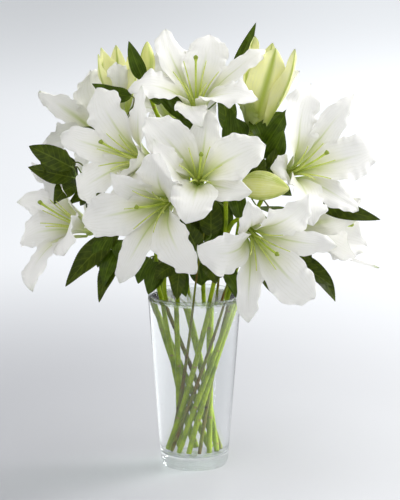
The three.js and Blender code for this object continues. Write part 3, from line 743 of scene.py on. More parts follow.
@dataclass(frozen=True)
class LilyPetal:
    """Waxy skin of a white lily petal, which grew soft and thin.

    To the eye it is a warm white with a broad weak gloss, and the light that comes through its
    thin flesh keeps its shades pale. Green runs up the throat and the midrib, faint veins stripe
    it, and small warts stand near the root. The yellow-green tint low on the petal is partly its own
    colour and partly painted shade inside the cup, and soft grey clouds are painted shade laid at random.
    """

    name: str
    white: str = "#fbfaf8"
    # Yellow-green tint low on the petal: partly the lily's own green, partly painted shade inside the cup
    wash_and_painted_shade: str = "#cacb56"
    throat: str = "#b6cc12"
    rib: str = "#b4c63e"
    # Soft grey laid in random clouds over the white: painted shade
    shade: str = "#efefe9"
    vein: str = "#dfdfd2"
    tip: str = "#a9bf52"
    wash_and_shade_strength: float = 0.72
    throat_reach: float = 0.5
    rib_strength: float = 0.75
    rib_width: float = 0.1
    rib_end: float = 0.78
    tip_green: float = 0.0
    cloud_mm: float = 22.0
    vein_patch_mm: float = 14.0
    grain_mm: float = 1.2
    wart_mm: float = 2.6
    # A dozen veins from edge to edge, about 5 mm apart: real ones lie closer and wouldn't show
    vein_turns: float = 38.0
    vein_sway: float = 0.3
    relief_mm: float = 0.25
    through: float = 0.42

    def build(self) -> bpy.types.Material:
        """Makes the material of one face of a petal.

        Returns:
            The material.
        """
        material = bpy.data.materials.new(self.name)
        g = Graph(material)
        where = g.add("TexCoord", {}, "Object")
        along, off, across = g.blade_chart()
        cloud = g.add("TexNoise", {"Vector": where, "Scale": per_metre(self.cloud_mm), "Detail": 3.0}, "Fac")
        fine = g.add("TexNoise", {"Vector": where, "Scale": per_metre(self.grain_mm), "Detail": 2.0}, "Fac")
        vein = self.veins(g, across, cloud)
        white = self.white_flesh(g, where, vein, cloud)
        colour = self.greens(g, white, along, off, cloud)

        warts = g.add("TexVoronoi", {"Vector": where, "Scale": per_metre(self.wart_mm)}, "Distance")
        wart = g.add("MapRange", {0: warts, 1: 0.1, 2: 0.45, 3: 1.0, 4: 0.0}, **SMOOTH)
        low = g.add("MapRange", {0: along, 1: 0.12, 2: 0.42, 3: 1.0, 4: 0.0}, **SMOOTH)
        wart = g.add("Math", {0: wart, 1: low}, **TIMES)
        height = g.add("Math", {0: fine, 1: 0.3}, **TIMES)
        height = g.add("Math", {0: vein, 1: 0.35, 2: height}, operation="MULTIPLY_ADD")
        height = g.add("Math", {0: wart, 1: 1.4, 2: height}, operation="MULTIPLY_ADD")
        bump = {"Height": height, "Distance": self.relief_mm * METRES, "Strength": 0.7}
        normal = g.add("Bump", bump, "Normal")
        wax = g.add("MapRange", {0: fine, 1: 0.2, 2: 0.8, 3: 0.42, 4: 0.56}, **SMOOTH)
        skin = g.add("BsdfPrincipled", {
            "Base Color": colour, "Roughness": wax, "IOR": 1.42, "Specular IOR Level": 0.35,
            "Sheen Weight": 0.08, "Sheen Roughness": 0.4, "Normal": normal,
        })
        lit = g.add("Mix", {0: 0.5, 6: colour, 7: linear("#fffefb")}, 2, **COLOUR)
        glow = g.add("BsdfTranslucent", {"Color": lit, "Normal": normal})
        g.add("OutputMaterial", {"Surface": g.add("MixShader", {0: self.through, 1: skin, 2: glow})})
        return material

    def veins(
        self, g: Graph, across: bpy.types.NodeSocket, cloud: bpy.types.NodeSocket
    ) -> bpy.types.NodeSocket:
        """Where the veins run.

        Args:
            g: the petal's nodes.
            across: the place across the petal.
            cloud: the clouds that make the veins sway.

        Returns:
            1 on a vein and 0 between two.
        """
        swayed = g.add("Math", {0: cloud, 1: self.vein_sway, 2: across}, operation="MULTIPLY_ADD")
        turns = g.add("Math", {0: swayed, 1: self.vein_turns}, **TIMES)
        return g.add("MapRange", {0: g.add("Math", {0: turns}, operation="SINE"), 1: 0.2}, **SMOOTH)

    def white_flesh(
        self, g: Graph, where: bpy.types.NodeSocket, vein: bpy.types.NodeSocket, cloud: bpy.types.NodeSocket
    ) -> bpy.types.NodeSocket:
        """The white of the petal with its faint veins and soft clouds of painted shade.

        Args:
            g: the petal's nodes.
            where: the Object coordinates.
            vein: 1 on a vein.
            cloud: the clouds of the painted shade.

        Returns:
            The colour.
        """
        spots = {"Vector": where, "Scale": per_metre(self.vein_patch_mm), "Detail": 3.0}
        patch = g.add("TexNoise", spots, "Fac")
        seen = g.add("MapRange", {0: patch, 1: 0.35, 2: 0.7, 3: 0.04, 4: 0.3}, **SMOOTH)
        faint = g.add("Math", {0: vein, 1: seen}, **TIMES)
        veined = g.add("Mix", {0: faint, 6: linear(self.white), 7: linear(self.vein)}, 2, **COLOUR)
        # Painted shade: soft grey clouds laid at random over the white
        soft = g.add("MapRange", {0: cloud, 1: 0.35, 2: 0.75, 4: 0.25}, **SMOOTH)
        return g.add("Mix", {0: soft, 6: veined, 7: linear(self.shade)}, 2, **COLOUR)

    def greens(
        self,
        g: Graph,
        white: bpy.types.NodeSocket,
        along: bpy.types.NodeSocket,
        off: bpy.types.NodeSocket,
        cloud: bpy.types.NodeSocket,
    ) -> bpy.types.NodeSocket:
        """The white with the greens of the throat, the midrib and the tip laid over it, and a yellow-green
        tint low on the petal that is partly painted shade inside the cup.

        Args:
            g: the petal's nodes.
            white: the colour of the flesh.
            along: the share along the petal.
            off: the distance from the midline.
            cloud: the clouds that break up the yellow-green tint and its painted shade.

        Returns:
            The colour.
        """
        # Yellow-green tint low on the petal and near its midline: partly its own colour, partly painted
        # shade inside the cup
        drift = g.add("Math", {0: cloud, 1: 0.25, 2: along}, operation="MULTIPLY_ADD")
        low = g.add("MapRange", {0: drift, 1: 0.15, 2: 0.78, 3: self.wash_and_shade_strength, 4: 0.0}, **SMOOTH)
        inner = g.add("MapRange", {0: off, 1: 0.25, 2: 1.0, 3: 1.0, 4: 0.15}, **SMOOTH)
        wash_and_painted_shade = g.add("Math", {0: low, 1: inner}, **TIMES)
        colour = g.add("Mix", {0: wash_and_painted_shade, 6: white, 7: linear(self.wash_and_painted_shade)}, 2, **COLOUR)

        reach = g.add("MapRange", {0: along, 1: 0.02, 2: self.throat_reach, 3: 1.0, 4: 0.0}, **SMOOTH)
        narrow = g.add("MapRange", {0: off, 1: 0.1, 2: 0.75, 3: 1.0, 4: 0.0}, **SMOOTH)
        root = g.add("MapRange", {0: along, 1: 0.04, 2: 0.32, 3: 1.0, 4: 0.0}, **SMOOTH)
        throat = g.add("Math", {0: reach, 1: narrow}, **TIMES)
        throat = g.add("Math", {0: throat, 1: root}, operation="MAXIMUM")
        colour = g.add("Mix", {0: throat, 6: colour, 7: linear(self.throat)}, 2, **COLOUR)

        line = g.add("MapRange", {0: off, 2: self.rib_width, 3: self.rib_strength, 4: 0.0}, **SMOOTH)
        span = {0: along, 1: self.rib_end - 0.5, 2: self.rib_end, 3: 1.0, 4: 0.0}
        rib = g.add("Math", {0: line, 1: g.add("MapRange", span, **SMOOTH)}, **TIMES)
        colour = g.add("Mix", {0: rib, 6: colour, 7: linear(self.rib)}, 2, **COLOUR)
        tip = g.add("MapRange", {0: along, 1: 0.9, 4: self.tip_green}, **SMOOTH)
        return g.add("Mix", {0: tip, 6: colour, 7: linear(self.tip)}, 2, **COLOUR)


@dataclass(frozen=True)
class GreenSkin:
    """Smooth living skin of stems, stalks, styles and filaments.

    To the eye it is a soft green that drifts along the fibres in streaks, with a dull gloss, darker
    clouds, and tan scars where leaves were stripped off.
    """

    name: str
    base: str
    dark: str
    light: str
    scar: str = "#8d7a45"
    roughness: float = 0.38
    streak_mm: float = 0.9
    streak_stretch: float = 0.12
    cloud_mm: float = 24.0
    relief_mm: float = 0.12

    def build(self) -> bpy.types.Material:
        """Makes the material of a stem.

        Returns:
            The material.
        """
        material = bpy.data.materials.new(self.name)
        g = Graph(material)
        where = g.add("TexCoord", {}, "Object")
        fibres = g.add("Mapping", {"Vector": where, "Scale": (1, 1, self.streak_stretch)})
        threads = {"Vector": fibres, "Scale": per_metre(self.streak_mm), "Detail": 3.0}
        streak = g.add("TexNoise", threads, "Fac")
        cloud = g.add("TexNoise", {"Vector": where, "Scale": per_metre(self.cloud_mm), "Detail": 3.0}, "Fac")
        share = g.add("MapRange", {0: streak, 1: 0.35, 2: 0.7, 4: 0.8}, **SMOOTH)
        colour = g.add("Mix", {0: share, 6: linear(self.base), 7: linear(self.light)}, 2, **COLOUR)
        share = g.add("MapRange", {0: cloud, 1: 0.42, 2: 0.7, 4: 0.75}, **SMOOTH)
        colour = g.add("Mix", {0: share, 6: colour, 7: linear(self.dark)}, 2, **COLOUR)
        scar = g.add("Attribute", {}, "Fac", attribute_name=MARK)
        share = g.add("MapRange", {0: scar, 1: 0.25, 2: 0.9}, **SMOOTH)
        colour = g.add("Mix", {0: share, 6: colour, 7: linear(self.scar)}, 2, **COLOUR)
        gloss = {0: streak, 1: 0.2, 2: 0.8, 3: self.roughness, 4: self.roughness + 0.14}
        bump = {"Height": streak, "Distance": self.relief_mm * METRES, "Strength": 0.5}
        skin = g.add("BsdfPrincipled", {
            "Base Color": colour, "Roughness": g.add("MapRange", gloss, **SMOOTH),
            "Specular IOR Level": 0.16, "Normal": g.add("Bump", bump, "Normal"),
        })
        g.add("OutputMaterial", {"Surface": skin})
        return material


@dataclass(frozen=True)
class LeafSkin:
    """One face of a leaf of salal or lily, leathery and waxed by the plant itself.

    To the eye it is a dark green between paler veins, with a low gloss and a little light through.
    """

    name: str
    base: str
    shade: str
    vein: str
    kind: LeafKind
    roughness: float = 0.34
    vein_strength: float = 0.55
    cloud_mm: float = 9.0
    grain_mm: float = 0.9
    relief_mm: float = 0.2
    through: float = 0.1

    def build(self) -> bpy.types.Material:
        """Makes the material of one face of a leaf.

        Returns:
            The material.
        """
        material = bpy.data.materials.new(self.name)
        g = Graph(material)
        where = g.add("TexCoord", {}, "Object")
        along, off, across = g.blade_chart()
        cloud = g.add("TexNoise", {"Vector": where, "Scale": per_metre(self.cloud_mm), "Detail": 3.0}, "Fac")
        fine = g.add("TexNoise", {"Vector": where, "Scale": per_metre(self.grain_mm), "Detail": 2.0}, "Fac")
        share = g.add("MapRange", {0: cloud, 1: 0.35, 2: 0.7}, **SMOOTH)
        colour = g.add("Mix", {0: share, 6: linear(self.base), 7: linear(self.shade)}, 2, **COLOUR)
        middle = g.add("MapRange", {0: off, 1: 0.015, 2: 0.09, 3: 1.0, 4: 0.0}, **SMOOTH)
        side = g.add("Math", {0: self.side_veins(g, along, off, across), 1: 0.6}, **TIMES)
        veins = g.add("Math", {0: side, 1: middle}, operation="MAXIMUM")
        share = g.add("Math", {0: veins, 1: self.vein_strength}, **TIMES)
        colour = g.add("Mix", {0: share, 6: colour, 7: linear(self.vein)}, 2, **COLOUR)

        height = g.add("Math", {0: fine, 1: 0.3}, **TIMES)
        height = g.add("Math", {0: height, 1: veins}, operation="SUBTRACT")
        bump = {"Height": height, "Distance": self.relief_mm * METRES, "Strength": 0.6}
        normal = g.add("Bump", bump, "Normal")
        gloss = {0: fine, 1: 0.2, 2: 0.8, 3: self.roughness, 4: self.roughness + 0.12}
        skin = g.add("BsdfPrincipled", {
            "Base Color": colour, "Roughness": g.add("MapRange", gloss, **SMOOTH),
            "Specular IOR Level": 0.16, "Normal": normal,
        })
        lit = g.add("Mix", {0: 0.45, 6: colour, 7: linear("#93b02c")}, 2, **COLOUR)
        glow = g.add("BsdfTranslucent", {"Color": lit, "Normal": normal})
        g.add("OutputMaterial", {"Surface": g.add("MixShader", {0: self.through, 1: skin, 2: glow})})
        return material

    def side_veins(
        self,
        g: Graph,
        along: bpy.types.NodeSocket,
        off: bpy.types.NodeSocket,
        across: bpy.types.NodeSocket,
    ) -> bpy.types.NodeSocket:
        """The side veins: slanting from the midrib on salal, and lengthwise on a lily leaf.

        Args:
            g: the leaf's nodes.
            along: the share along the leaf.
            off: the distance from the midline.
            across: the place across the leaf.

        Returns:
            1 on a vein and 0 between two.
        """
        if self.kind is LeafKind.LILY:
            turns = g.add("Math", {0: across, 1: LILY_VEIN_TURNS}, **TIMES)
            return g.add("MapRange", {0: g.add("Math", {0: turns}, operation="SINE"), 1: 0.55}, **SMOOTH)
        fall = g.add("Math", {0: off, 1: SALAL_VEIN_SLANT}, **TIMES)
        slant = g.add("Math", {0: along, 1: SALAL_VEINS}, **TIMES)
        slant = g.add("Math", {0: slant, 1: fall}, operation="SUBTRACT")
        phase = g.add("Math", {0: slant}, operation="FRACT")
        phase = g.add("Math", {0: phase, 1: 0.5}, operation="SUBTRACT")
        phase = g.add("Math", {0: phase}, operation="ABSOLUTE")
        return g.add("MapRange", {0: phase, 1: 0.36, 2: 0.5}, **SMOOTH)


@dataclass(frozen=True)
class BudSkin:
    """Skin of a closed lily bud, firmer than an open petal.

    To the eye it is a pale yellow-green with three broad greener ribs, fine stripes from foot to
    tip, a satin gloss and some light through it.
    """

    name: str
    base: str = "#e8ea94"
    rib: str = "#adbe40"
    pale: str = "#f3f3c6"
    cloud_mm: float = 16.0
    grain_mm: float = 1.0
    relief_mm: float = 0.2
    through: float = 0.25

    def build(self) -> bpy.types.Material:
        """Makes the material of a bud.

        Returns:
            The material.
        """
        material = bpy.data.materials.new(self.name)
        g = Graph(material)
        where = g.add("TexCoord", {}, "Object")
        round_it = g.add("SeparateXYZ", {0: g.add("UVMap", {}, uv_map=CHART)}, "Y")
        cloud = g.add("TexNoise", {"Vector": where, "Scale": per_metre(self.cloud_mm), "Detail": 3.0}, "Fac")
        fine = g.add("TexNoise", {"Vector": where, "Scale": per_metre(self.grain_mm), "Detail": 2.0}, "Fac")
        drift = g.add("Math", {0: cloud, 1: 0.7}, **TIMES)
        ribs = {0: round_it, 1: BUD_RIBS * 2 * math.pi, 2: drift}
        turn = g.add("Math", ribs, operation="MULTIPLY_ADD")
        wave = g.add("Math", {0: turn}, operation="SINE")
        rib = g.add("MapRange", {0: wave, 1: -0.2, 2: 1.0, 4: 0.8}, **SMOOTH)
        turn = g.add("Math", {0: round_it, 1: BUD_STRIPES * 2 * math.pi}, **TIMES)
        wave = g.add("Math", {0: turn}, operation="SINE")
        stripe = g.add("MapRange", {0: wave, 1: 0.1}, **SMOOTH)
        colour = g.add("Mix", {0: rib, 6: linear(self.base), 7: linear(self.rib)}, 2, **COLOUR)
        share = g.add("Math", {0: stripe, 1: 0.3}, **TIMES)
        colour = g.add("Mix", {0: share, 6: colour, 7: linear(self.pale)}, 2, **COLOUR)
        share = g.add("MapRange", {0: cloud, 1: 0.45, 2: 0.75, 4: 0.5}, **SMOOTH)
        colour = g.add("Mix", {0: share, 6: colour, 7: linear(self.pale)}, 2, **COLOUR)

        height = g.add("Math", {0: stripe, 1: 0.6, 2: fine}, operation="MULTIPLY_ADD")
        bump = {"Height": height, "Distance": self.relief_mm * METRES, "Strength": 0.6}
        normal = g.add("Bump", bump, "Normal")
        satin = g.add("MapRange", {0: fine, 1: 0.2, 2: 0.8, 3: 0.4, 4: 0.52}, **SMOOTH)
        skin = g.add("BsdfPrincipled", {
            "Base Color": colour, "Roughness": satin, "Specular IOR Level": 0.4, "Normal": normal,
        })
        glow = g.add("BsdfTranslucent", {"Color": colour, "Normal": normal})
        g.add("OutputMaterial", {"Surface": g.add("MixShader", {0: self.through, 1: skin, 2: glow})})
        return material


@dataclass(frozen=True)
class ClearBody:
    """Clear soda-lime glass, pressed and fire polished, or still water.

    To the eye it is colourless, bends what stands behind it and holds bright lines at its edges.
    Lamps shine through to the stems, and at the rim and the foot, where many surfaces lie close
    together, part of the light goes straight on, so that they don't turn dark.
    """

    name: str
    index: float
    tint: str
    ripple_mm: float
    ripple_size_mm: float
    straight: float

    def build(self) -> bpy.types.Material:
        """Makes the material of the glass or of the water.

        Returns:
            The material.
        """
        material = bpy.data.materials.new(self.name)
        g = Graph(material)
        where = g.add("TexCoord", {}, "Object")
        ripples = {"Vector": where, "Scale": per_metre(self.ripple_size_mm), "Detail": 1.0}
        wave = g.add("TexNoise", ripples, "Fac")
        share = g.add("MapRange", {0: wave, 1: 0.3, 2: 0.7}, **SMOOTH)
        tint = g.add("Mix", {0: share, 6: linear(self.tint), 7: linear("#fdfefe")}, 2, **COLOUR)
        bump = {"Height": wave, "Distance": self.ripple_mm * METRES, "Strength": 0.5}
        body = g.add("BsdfPrincipled", {
            "Base Color": tint, "Roughness": 0.0, "IOR": self.index, "Transmission Weight": 1.0,
            "Normal": g.add("Bump", bump, "Normal"),
        })
        clear = g.add("BsdfTransparent", {"Color": linear("#fafcfb")})

        height = g.add("SeparateXYZ", {0: where}, "Z")
        rim = {0: height, 1: (WATER_LEVEL - 3.0) * METRES, 2: (WATER_LEVEL + 1.0) * METRES}
        foot = {0: height, 1: (VASE_FLOOR - 4.0) * METRES, 2: (VASE_FLOOR + 1.0) * METRES, 3: 1.0, 4: 0.0}
        both = {0: g.add("MapRange", rim, **SMOOTH), 1: g.add("MapRange", foot, **SMOOTH)}
        ends = g.add("Math", both, operation="MAXIMUM")
        straight = g.add("Math", {0: ends, 1: self.straight}, **TIMES)
        lamp = g.add("LightPath", {}, "Is Shadow Ray")
        share = g.add("Math", {0: lamp, 1: straight}, operation="MAXIMUM")
        g.add("OutputMaterial", {"Surface": g.add("MixShader", {0: share, 1: body, 2: clear})})
        return material


@dataclass(frozen=True)
class StudioPaper:
    """Pale matt paper: a table near the vase, greyer to the left as painted shade, that farther off
    glows like a lit backdrop, more strongly to the right as painted light.
    """

    name: str
    far: str = "#e4e6e9"
    # The table is greyer on the left: painted shade, as if the light came from the right
    table_shaded_left: str = "#afb0b4"
    table_lit_right: str = "#cdced1"
    glow: str = "#eef2f6"
    # Painted light: the floor itself glows, weaker on the left and stronger on the right
    painted_glow_left: float = 0.23
    painted_glow_right: float = 0.5
    cloud_mm: float = 320.0

    def build(self) -> bpy.types.Material:
        """Makes the material of the floor.

        Returns:
            The material.
        """
        material = bpy.data.materials.new(self.name)
        g = Graph(material)
        where = g.add("TexCoord", {}, "Object")
        across = g.add("SeparateXYZ", {0: where}, "X")
        away = g.add("VectorMath", {0: where}, "Value", operation="LENGTH")
        cloud = g.add("TexNoise", {"Vector": where, "Scale": per_metre(self.cloud_mm), "Detail": 2.0}, "Fac")
        drift = g.add("Math", {0: cloud, 1: 0.1, 2: across}, operation="MULTIPLY_ADD")
        # Painted shade: the table darkens from right to left
        share = g.add("MapRange", {0: drift, 1: -0.3, 2: 0.4}, **SMOOTH)
        table_shade_greys = {0: share, 6: linear(self.table_shaded_left), 7: linear(self.table_lit_right)}
        table = g.add("Mix", table_shade_greys, 2, **COLOUR)
        share = g.add("MapRange", {0: away, 1: 0.4, 2: 1.6}, **SMOOTH)
        colour = g.add("Mix", {0: share, 6: table, 7: linear(self.far)}, 2, **COLOUR)
        # Painted light: the glow grows from left to right and with distance from the vase
        sides = {0: across, 1: -0.9, 2: 1.1, 3: self.painted_glow_left, 4: self.painted_glow_right}
        side = g.add("MapRange", sides, **SMOOTH)
        reach = g.add("MapRange", {0: away, 1: 0.9, 2: 4.5}, **SMOOTH)
        paper = g.add("BsdfPrincipled", {
            "Base Color": colour, "Roughness": 0.5, "Specular IOR Level": 0.3,
            "Emission Color": linear(self.glow),
            "Emission Strength": g.add("Math", {0: side, 1: reach}, **TIMES),
        })
        g.add("OutputMaterial", {"Surface": paper})
        return material


# Sub-assemblies


@dataclass
class GlassVase:
    """The tapered vase with its thick floor, and the water that fills it to just under the rim."""

    segments: int = 128
    corner_steps: int = 8
    underside_rise: float = 0.6
    underside_edge: float = 8.0
    foot_ring: float = 5.0
    foot_spread: float = 1.4
    heel_round: float = 3.0
    lip_round: float = 1.5
    floor_dip: float = 1.5
    floor_rise: float = 0.6
    floor_round: float = 9.0
    overlap: float = 0.18
    brim_rise: float = 1.6
    brim_reach: float = 2.6

    def inner_radius(self, height: float, more: float = 0.0) -> float:
        """The radius of the inside at a height, and a little more."""
        slope = (VASE_RIM_RADIUS - VASE_BASE_RADIUS) / (VASE_HEIGHT - VASE_HEEL_HEIGHT)
        return VASE_BASE_RADIUS + slope * (height - VASE_HEEL_HEIGHT) - VASE_WALL + more

    def glass_profile(self) -> list[tuple[float, float]]:
        """The glass, from the middle of its underside up the outside and down the inside.

        Returns:
            The points of radius and height.
        """
        floor_edge = VASE_FLOOR - self.floor_dip
        return rounded([
            (0, self.underside_rise, 0),
            (VASE_FOOT_RADIUS - self.underside_edge, self.underside_rise, 2),
            (VASE_FOOT_RADIUS - self.foot_ring, 0, 1.2),
            (VASE_FOOT_RADIUS + self.foot_spread, 0, 2.2),
            (VASE_BASE_RADIUS, VASE_HEEL_HEIGHT, self.heel_round),
            (VASE_RIM_RADIUS, VASE_HEIGHT, self.lip_round),
            (self.inner_radius(VASE_HEIGHT), VASE_HEIGHT, self.lip_round),
            (self.inner_radius(floor_edge), floor_edge, self.floor_round),
            (0, VASE_FLOOR + self.floor_rise, 0),
        ], self.corner_steps)

    def water_profile(self) -> list[tuple[float, float]]:
        """The water, which reaches a hair into the glass and rises a little at the wall.

        Returns:
            The points of radius and height.
        """
        floor_edge = VASE_FLOOR - self.floor_dip - self.overlap
        brim = WATER_LEVEL + self.brim_rise
        level = self.inner_radius(WATER_LEVEL, self.overlap) - self.brim_reach
        return rounded([
            (0, VASE_FLOOR + self.floor_rise - self.overlap, 0),
            (self.inner_radius(floor_edge, self.overlap), floor_edge, self.floor_round),
            (self.inner_radius(brim, self.overlap), brim, 0.2),
            (level, WATER_LEVEL, 2.0),
            (0, WATER_LEVEL, 0),
        ], self.corner_steps)

    def build(self) -> list[bpy.types.Object]:
        """Makes the vase and its water.

        Returns:
            The two pieces.
        """
        glass = ClearBody("vase_glass", 1.5, "#fdfefe", ripple_mm=0.05, ripple_size_mm=70, straight=0.65)
        water = ClearBody("vase_water", 1.333, "#fefefe", ripple_mm=0.01, ripple_size_mm=50, straight=0.4)
        body = PieceMesh()
        body.lathe(self.glass_profile(), self.segments)
        filling = PieceMesh()
        filling.lathe(self.water_profile(), self.segments)
        return [
            body.finish("vase_body", [glass.build()], ["vase"], "vase_glass"),
            filling.finish("vase_water", [water.build()], ["water"], "water"),
        ]


@dataclass
class Stems:
    """The lily stems and the leafy stems with their leaf scars, and the leaves that grow on them."""

    sides: int = 16
    curve_points: int = 120
    row_step: float = 2.6
    neck_swell: float = 0.9
    # How far a curve holds its first direction, as shares of its reach, and its last, at most
    leafy_hold: float = 0.45
    main_hold: float = 0.4
    fork_hold: float = 0.3
    neck_hold: float = 45.0
    # Where the scars begin and stop on a stalk, their steps, and how far they stray from them
    scar_start: float = 18.0
    scar_stop: float = 20.0
    scar_step: float = 26.0
    scar_stray: float = 7.0
    # About the golden angle, in radians, by which leaves follow each other round a stem
    scar_turn: float = 2.4
    scar_length: float = 1.9
    scar_height: float = 0.55
    stalk_sides: int = 8
    stalk_slot: int = 2
    blade_rows: int = 72
    blade_columns: int = 12
    blade_bend: float = 0.38
    blade_neck: float = 1.1
    # Leaves that begin further back than this face away from the middle of the bouquet
    back_from: float = 30.0

    def line(self, index: int) -> tuple[np.ndarray, np.ndarray, np.ndarray]:
        """The straight part of a stem in the vase.

        Args:
            index: the stem's number round the vase.

        Returns:
            Its foot, its place in the mouth and its direction.
        """
        mouth = math.radians(FIRST_MOUTH_DEG + 360.0 * index / STEM_COUNT)
        foot = mouth - math.radians(STEM_TWIST_DEG)
        rise = VASE_FLOOR + STEM_FOOT_RISE
        low = np.array([STEM_FOOT_RING * math.cos(foot), STEM_FOOT_RING * math.sin(foot), rise])
        high = np.array([STEM_MOUTH_RING * math.cos(mouth), STEM_MOUTH_RING * math.sin(mouth), VASE_HEIGHT])
        return low, high, unit(high - low)

    def seat(self, name: str) -> tuple[np.ndarray, np.ndarray]:
        """Where a stem ends under a bloom or bud.

        Args:
            name: the bloom's or the bud's name.

        Returns:
            The end of the stem, and the way it points there.
        """
        plan = next(plan for plan in (*BLOOMS, *BUDS) if plan.name == name)
        aim = unit(np.array(plan.aim, float))
        depth = SEAT_GAP + (RECEPTACLE_DEPTH if isinstance(plan, BloomPlan) else 0.0)
        return np.array(plan.seat, float) - aim * depth, aim

    def curves(self, plan: StemPlan, index: int) -> list[Bezier]:
        """The curves of a stem over the vase's mouth.

        Args:
            plan: the stem.
            index: its number round the vase.

        Returns:
            The main curve, and then one for each side stalk.
        """
        _, high, along = self.line(index)
        if plan.end is not None:
            end = np.array(plan.end, float)
            bend = high + along * float(np.linalg.norm(end - high)) * self.leafy_hold
            return [Bezier(high, bend, end + (bend - end) * 0.35, end)]
        made: list[Bezier] = []
        for k, name in enumerate(plan.tops):
            end, aim = self.seat(name)
            start = high if k == 0 else made[0].point(plan.forks[k - 1])
            way = along if k == 0 else made[0].tangent(plan.forks[k - 1])
            reach = float(np.linalg.norm(end - start)) * (self.main_hold if k == 0 else self.fork_hold)
            neck = end - aim * STEM_NECK
            back = neck - aim * min(self.neck_hold, reach)
            made.append(Bezier(start, start + way * reach, back, neck))
        return made

    def path(self, curve: Bezier, foot: np.ndarray | None, end: np.ndarray | None) -> np.ndarray:
        """The middle line of one stalk in even steps.

        Args:
            curve: its curve.
            foot: the point before the curve, if it stands in the vase.
            end: the point after the curve, if it carries a bloom or bud.

        Returns:
            The points.
        """
        points = curve.point(np.linspace(0, 1, self.curve_points))
        if foot is not None:
            points = np.vstack([foot[None, :], points])
        if end is not None:
            points = np.vstack([points, end[None, :]])
        reach = reach_along(points)
        even = np.linspace(0, reach[-1], max(8, int(reach[-1] / self.row_step)))
        return np.stack([np.interp(even, reach, points[:, k]) for k in range(3)], axis=1)

    def stalk(
        self, mesh: PieceMesh, path: np.ndarray, foot: float, top: float, neck: float, seed: int
    ) -> None:
        """Adds one stalk whose thickness falls from foot to top, with leaf scars round it.

        Args:
            mesh: the mesh that it joins.
            path: the points of its middle line.
            foot: its radius at the foot.
            top: its radius at the top.
            neck: how far it swells under a bloom.
            seed: a number that sets its scars apart from those of other stalks.
        """
        reach = reach_along(path)
        whole = reach[-1]
        places = np.arange(self.scar_start + 7 * (seed % 3), whole - self.scar_stop, self.scar_step)
        places = places + self.scar_stray * np.sin(places * 1.7 + seed)
        turns = (np.arange(len(places)) * self.scar_turn + seed) % (2 * math.pi)

        def scar(row: np.ndarray, turn: np.ndarray) -> np.ndarray:
            """How much of a leaf scar is at a place on the stalk.

            Args:
                row: the numbers of the rings.
                turn: the angles round the stalk.

            Returns:
                1 in the middle of a scar and 0 away from it.
            """
            mark = np.zeros(len(row))
            for where, about in zip(places, turns):
                off = np.abs((turn - about + math.pi) % (2 * math.pi) - math.pi)
                fall = np.exp(-(((reach[row] - where) / self.scar_length) ** 2))
                mark = np.maximum(mark, fall * smooth(1.3 - off))
            return mark

        def radius(row: np.ndarray, turn: np.ndarray) -> np.ndarray:
            """The radius with its taper, its scars and the swelling under a bloom.

            Args:
                row: the numbers of the rings.
                turn: the angles round the stalk.

            Returns:
                One radius for each pair.
            """
            s = reach[row] / whole
            swell = neck * smooth((s * whole - whole + 16) / 16)
            cut = 1.0 - 0.12 * smooth(1 - reach[row] / 2.0)
            taper = (foot + (top - foot) * smooth(s * 1.1)) * cut
            return taper + swell + self.scar_height * scar(row, turn)

        mesh.tube(path, radius, self.sides, 0, scar)

    def leaf(self, mesh: PieceMesh, plan: LeafPlan, curve: Bezier) -> None:
        """Adds one leaf with its stalk.

        Args:
            mesh: the mesh that it joins.
            plan: the leaf.
            curve: the stem's curve that it grows on.
        """
        base = np.array(plan.base, float)
        span = np.array(plan.tip, float) - base
        size = float(np.linalg.norm(span))
        along = span / size
        if base[1] < self.back_from:
            face = np.array([base[0] / 300, -0.85, 0.5])
        else:
            face = unit(np.array([base[0], base[1], 0.0])) + np.array([0, 0, 0.8])
        side = turned(unit(np.cross(face, along)), along, math.radians(plan.roll))
        up = np.cross(along, side)
        self.leaf_stalk(mesh, curve, plan.share, base, unit(along + up * 4 * plan.arch / size))
        self.leaf_blade(mesh, plan, size, (along, side, up))

    def leaf_stalk(
        self, mesh: PieceMesh, curve: Bezier, share: float, base: np.ndarray, lie: np.ndarray
    ) -> None:
        """Adds the stalk that joins a leaf to its stem.

        Args:
            mesh: the mesh that it joins.
            curve: the stem's curve.
            share: the share of that curve where the stalk leaves.
            base: where the blade begins.
            lie: the way the blade sets out.
        """
        start = curve.point(share)
        reach = float(np.linalg.norm(base - start))
        leaving = curve.tangent(share)
        toward = (base - start) / reach
        out = reach * (0.16 + 0.14 * float(leaving @ toward))
        back = reach * (0.18 + 0.17 * float(lie @ toward))
        bow = Bezier(start, start + leaving * out, base - lie * back, base)
        line = bow.point(np.linspace(0, 1, max(6, int(reach / 4))))
        line = np.vstack([line, base + lie * 4.0])

        def radius(row: np.ndarray, turn: np.ndarray) -> np.ndarray:
            """The stalk's radius, which falls towards the blade."""
            return 1.25 - 0.35 * row / len(line)

        mesh.tube(line, radius, self.stalk_sides, self.stalk_slot)

    def leaf_blade(
        self,
        mesh: PieceMesh,
        plan: LeafPlan,
        size: float,
        axes: tuple[np.ndarray, np.ndarray, np.ndarray],
    ) -> None:
        """Adds the blade of a leaf, with a toothed edge where it is salal.

        Args:
            mesh: the mesh that it joins.
            plan: the leaf.
            size: its length.
            axes: the ways along it, across it and up from it.
        """
        along, side, up = axes
        rows = self.blade_rows
        t = np.linspace(0, 1, rows + 1)
        salal = plan.stem.startswith(LeafKind.SALAL.value)
        base = np.array(plan.base, float)
        centre = base + along * (size * t)[:, None] + up * (4 * plan.arch * t * (1 - t))[:, None]
        way = unit(along + up * (4 * plan.arch * (1 - 2 * t) / size)[:, None])
        sides = np.repeat(side[None, :], rows + 1, axis=0)
        body = np.sin(math.pi * np.clip(t, 0, 1) ** 0.72) ** 0.85
        body[-1] = 0.0
        half = self.blade_neck * (1 - t) + (plan.half - self.blade_neck) * body
        if salal:
            half = half + 0.35 * (np.arange(rows + 1) % 2) * (body > 0.15)

        def wide(u: np.ndarray, v: np.ndarray) -> np.ndarray:
            """Half the leaf's width."""
            return half[np.rint(u * rows).astype(int)]

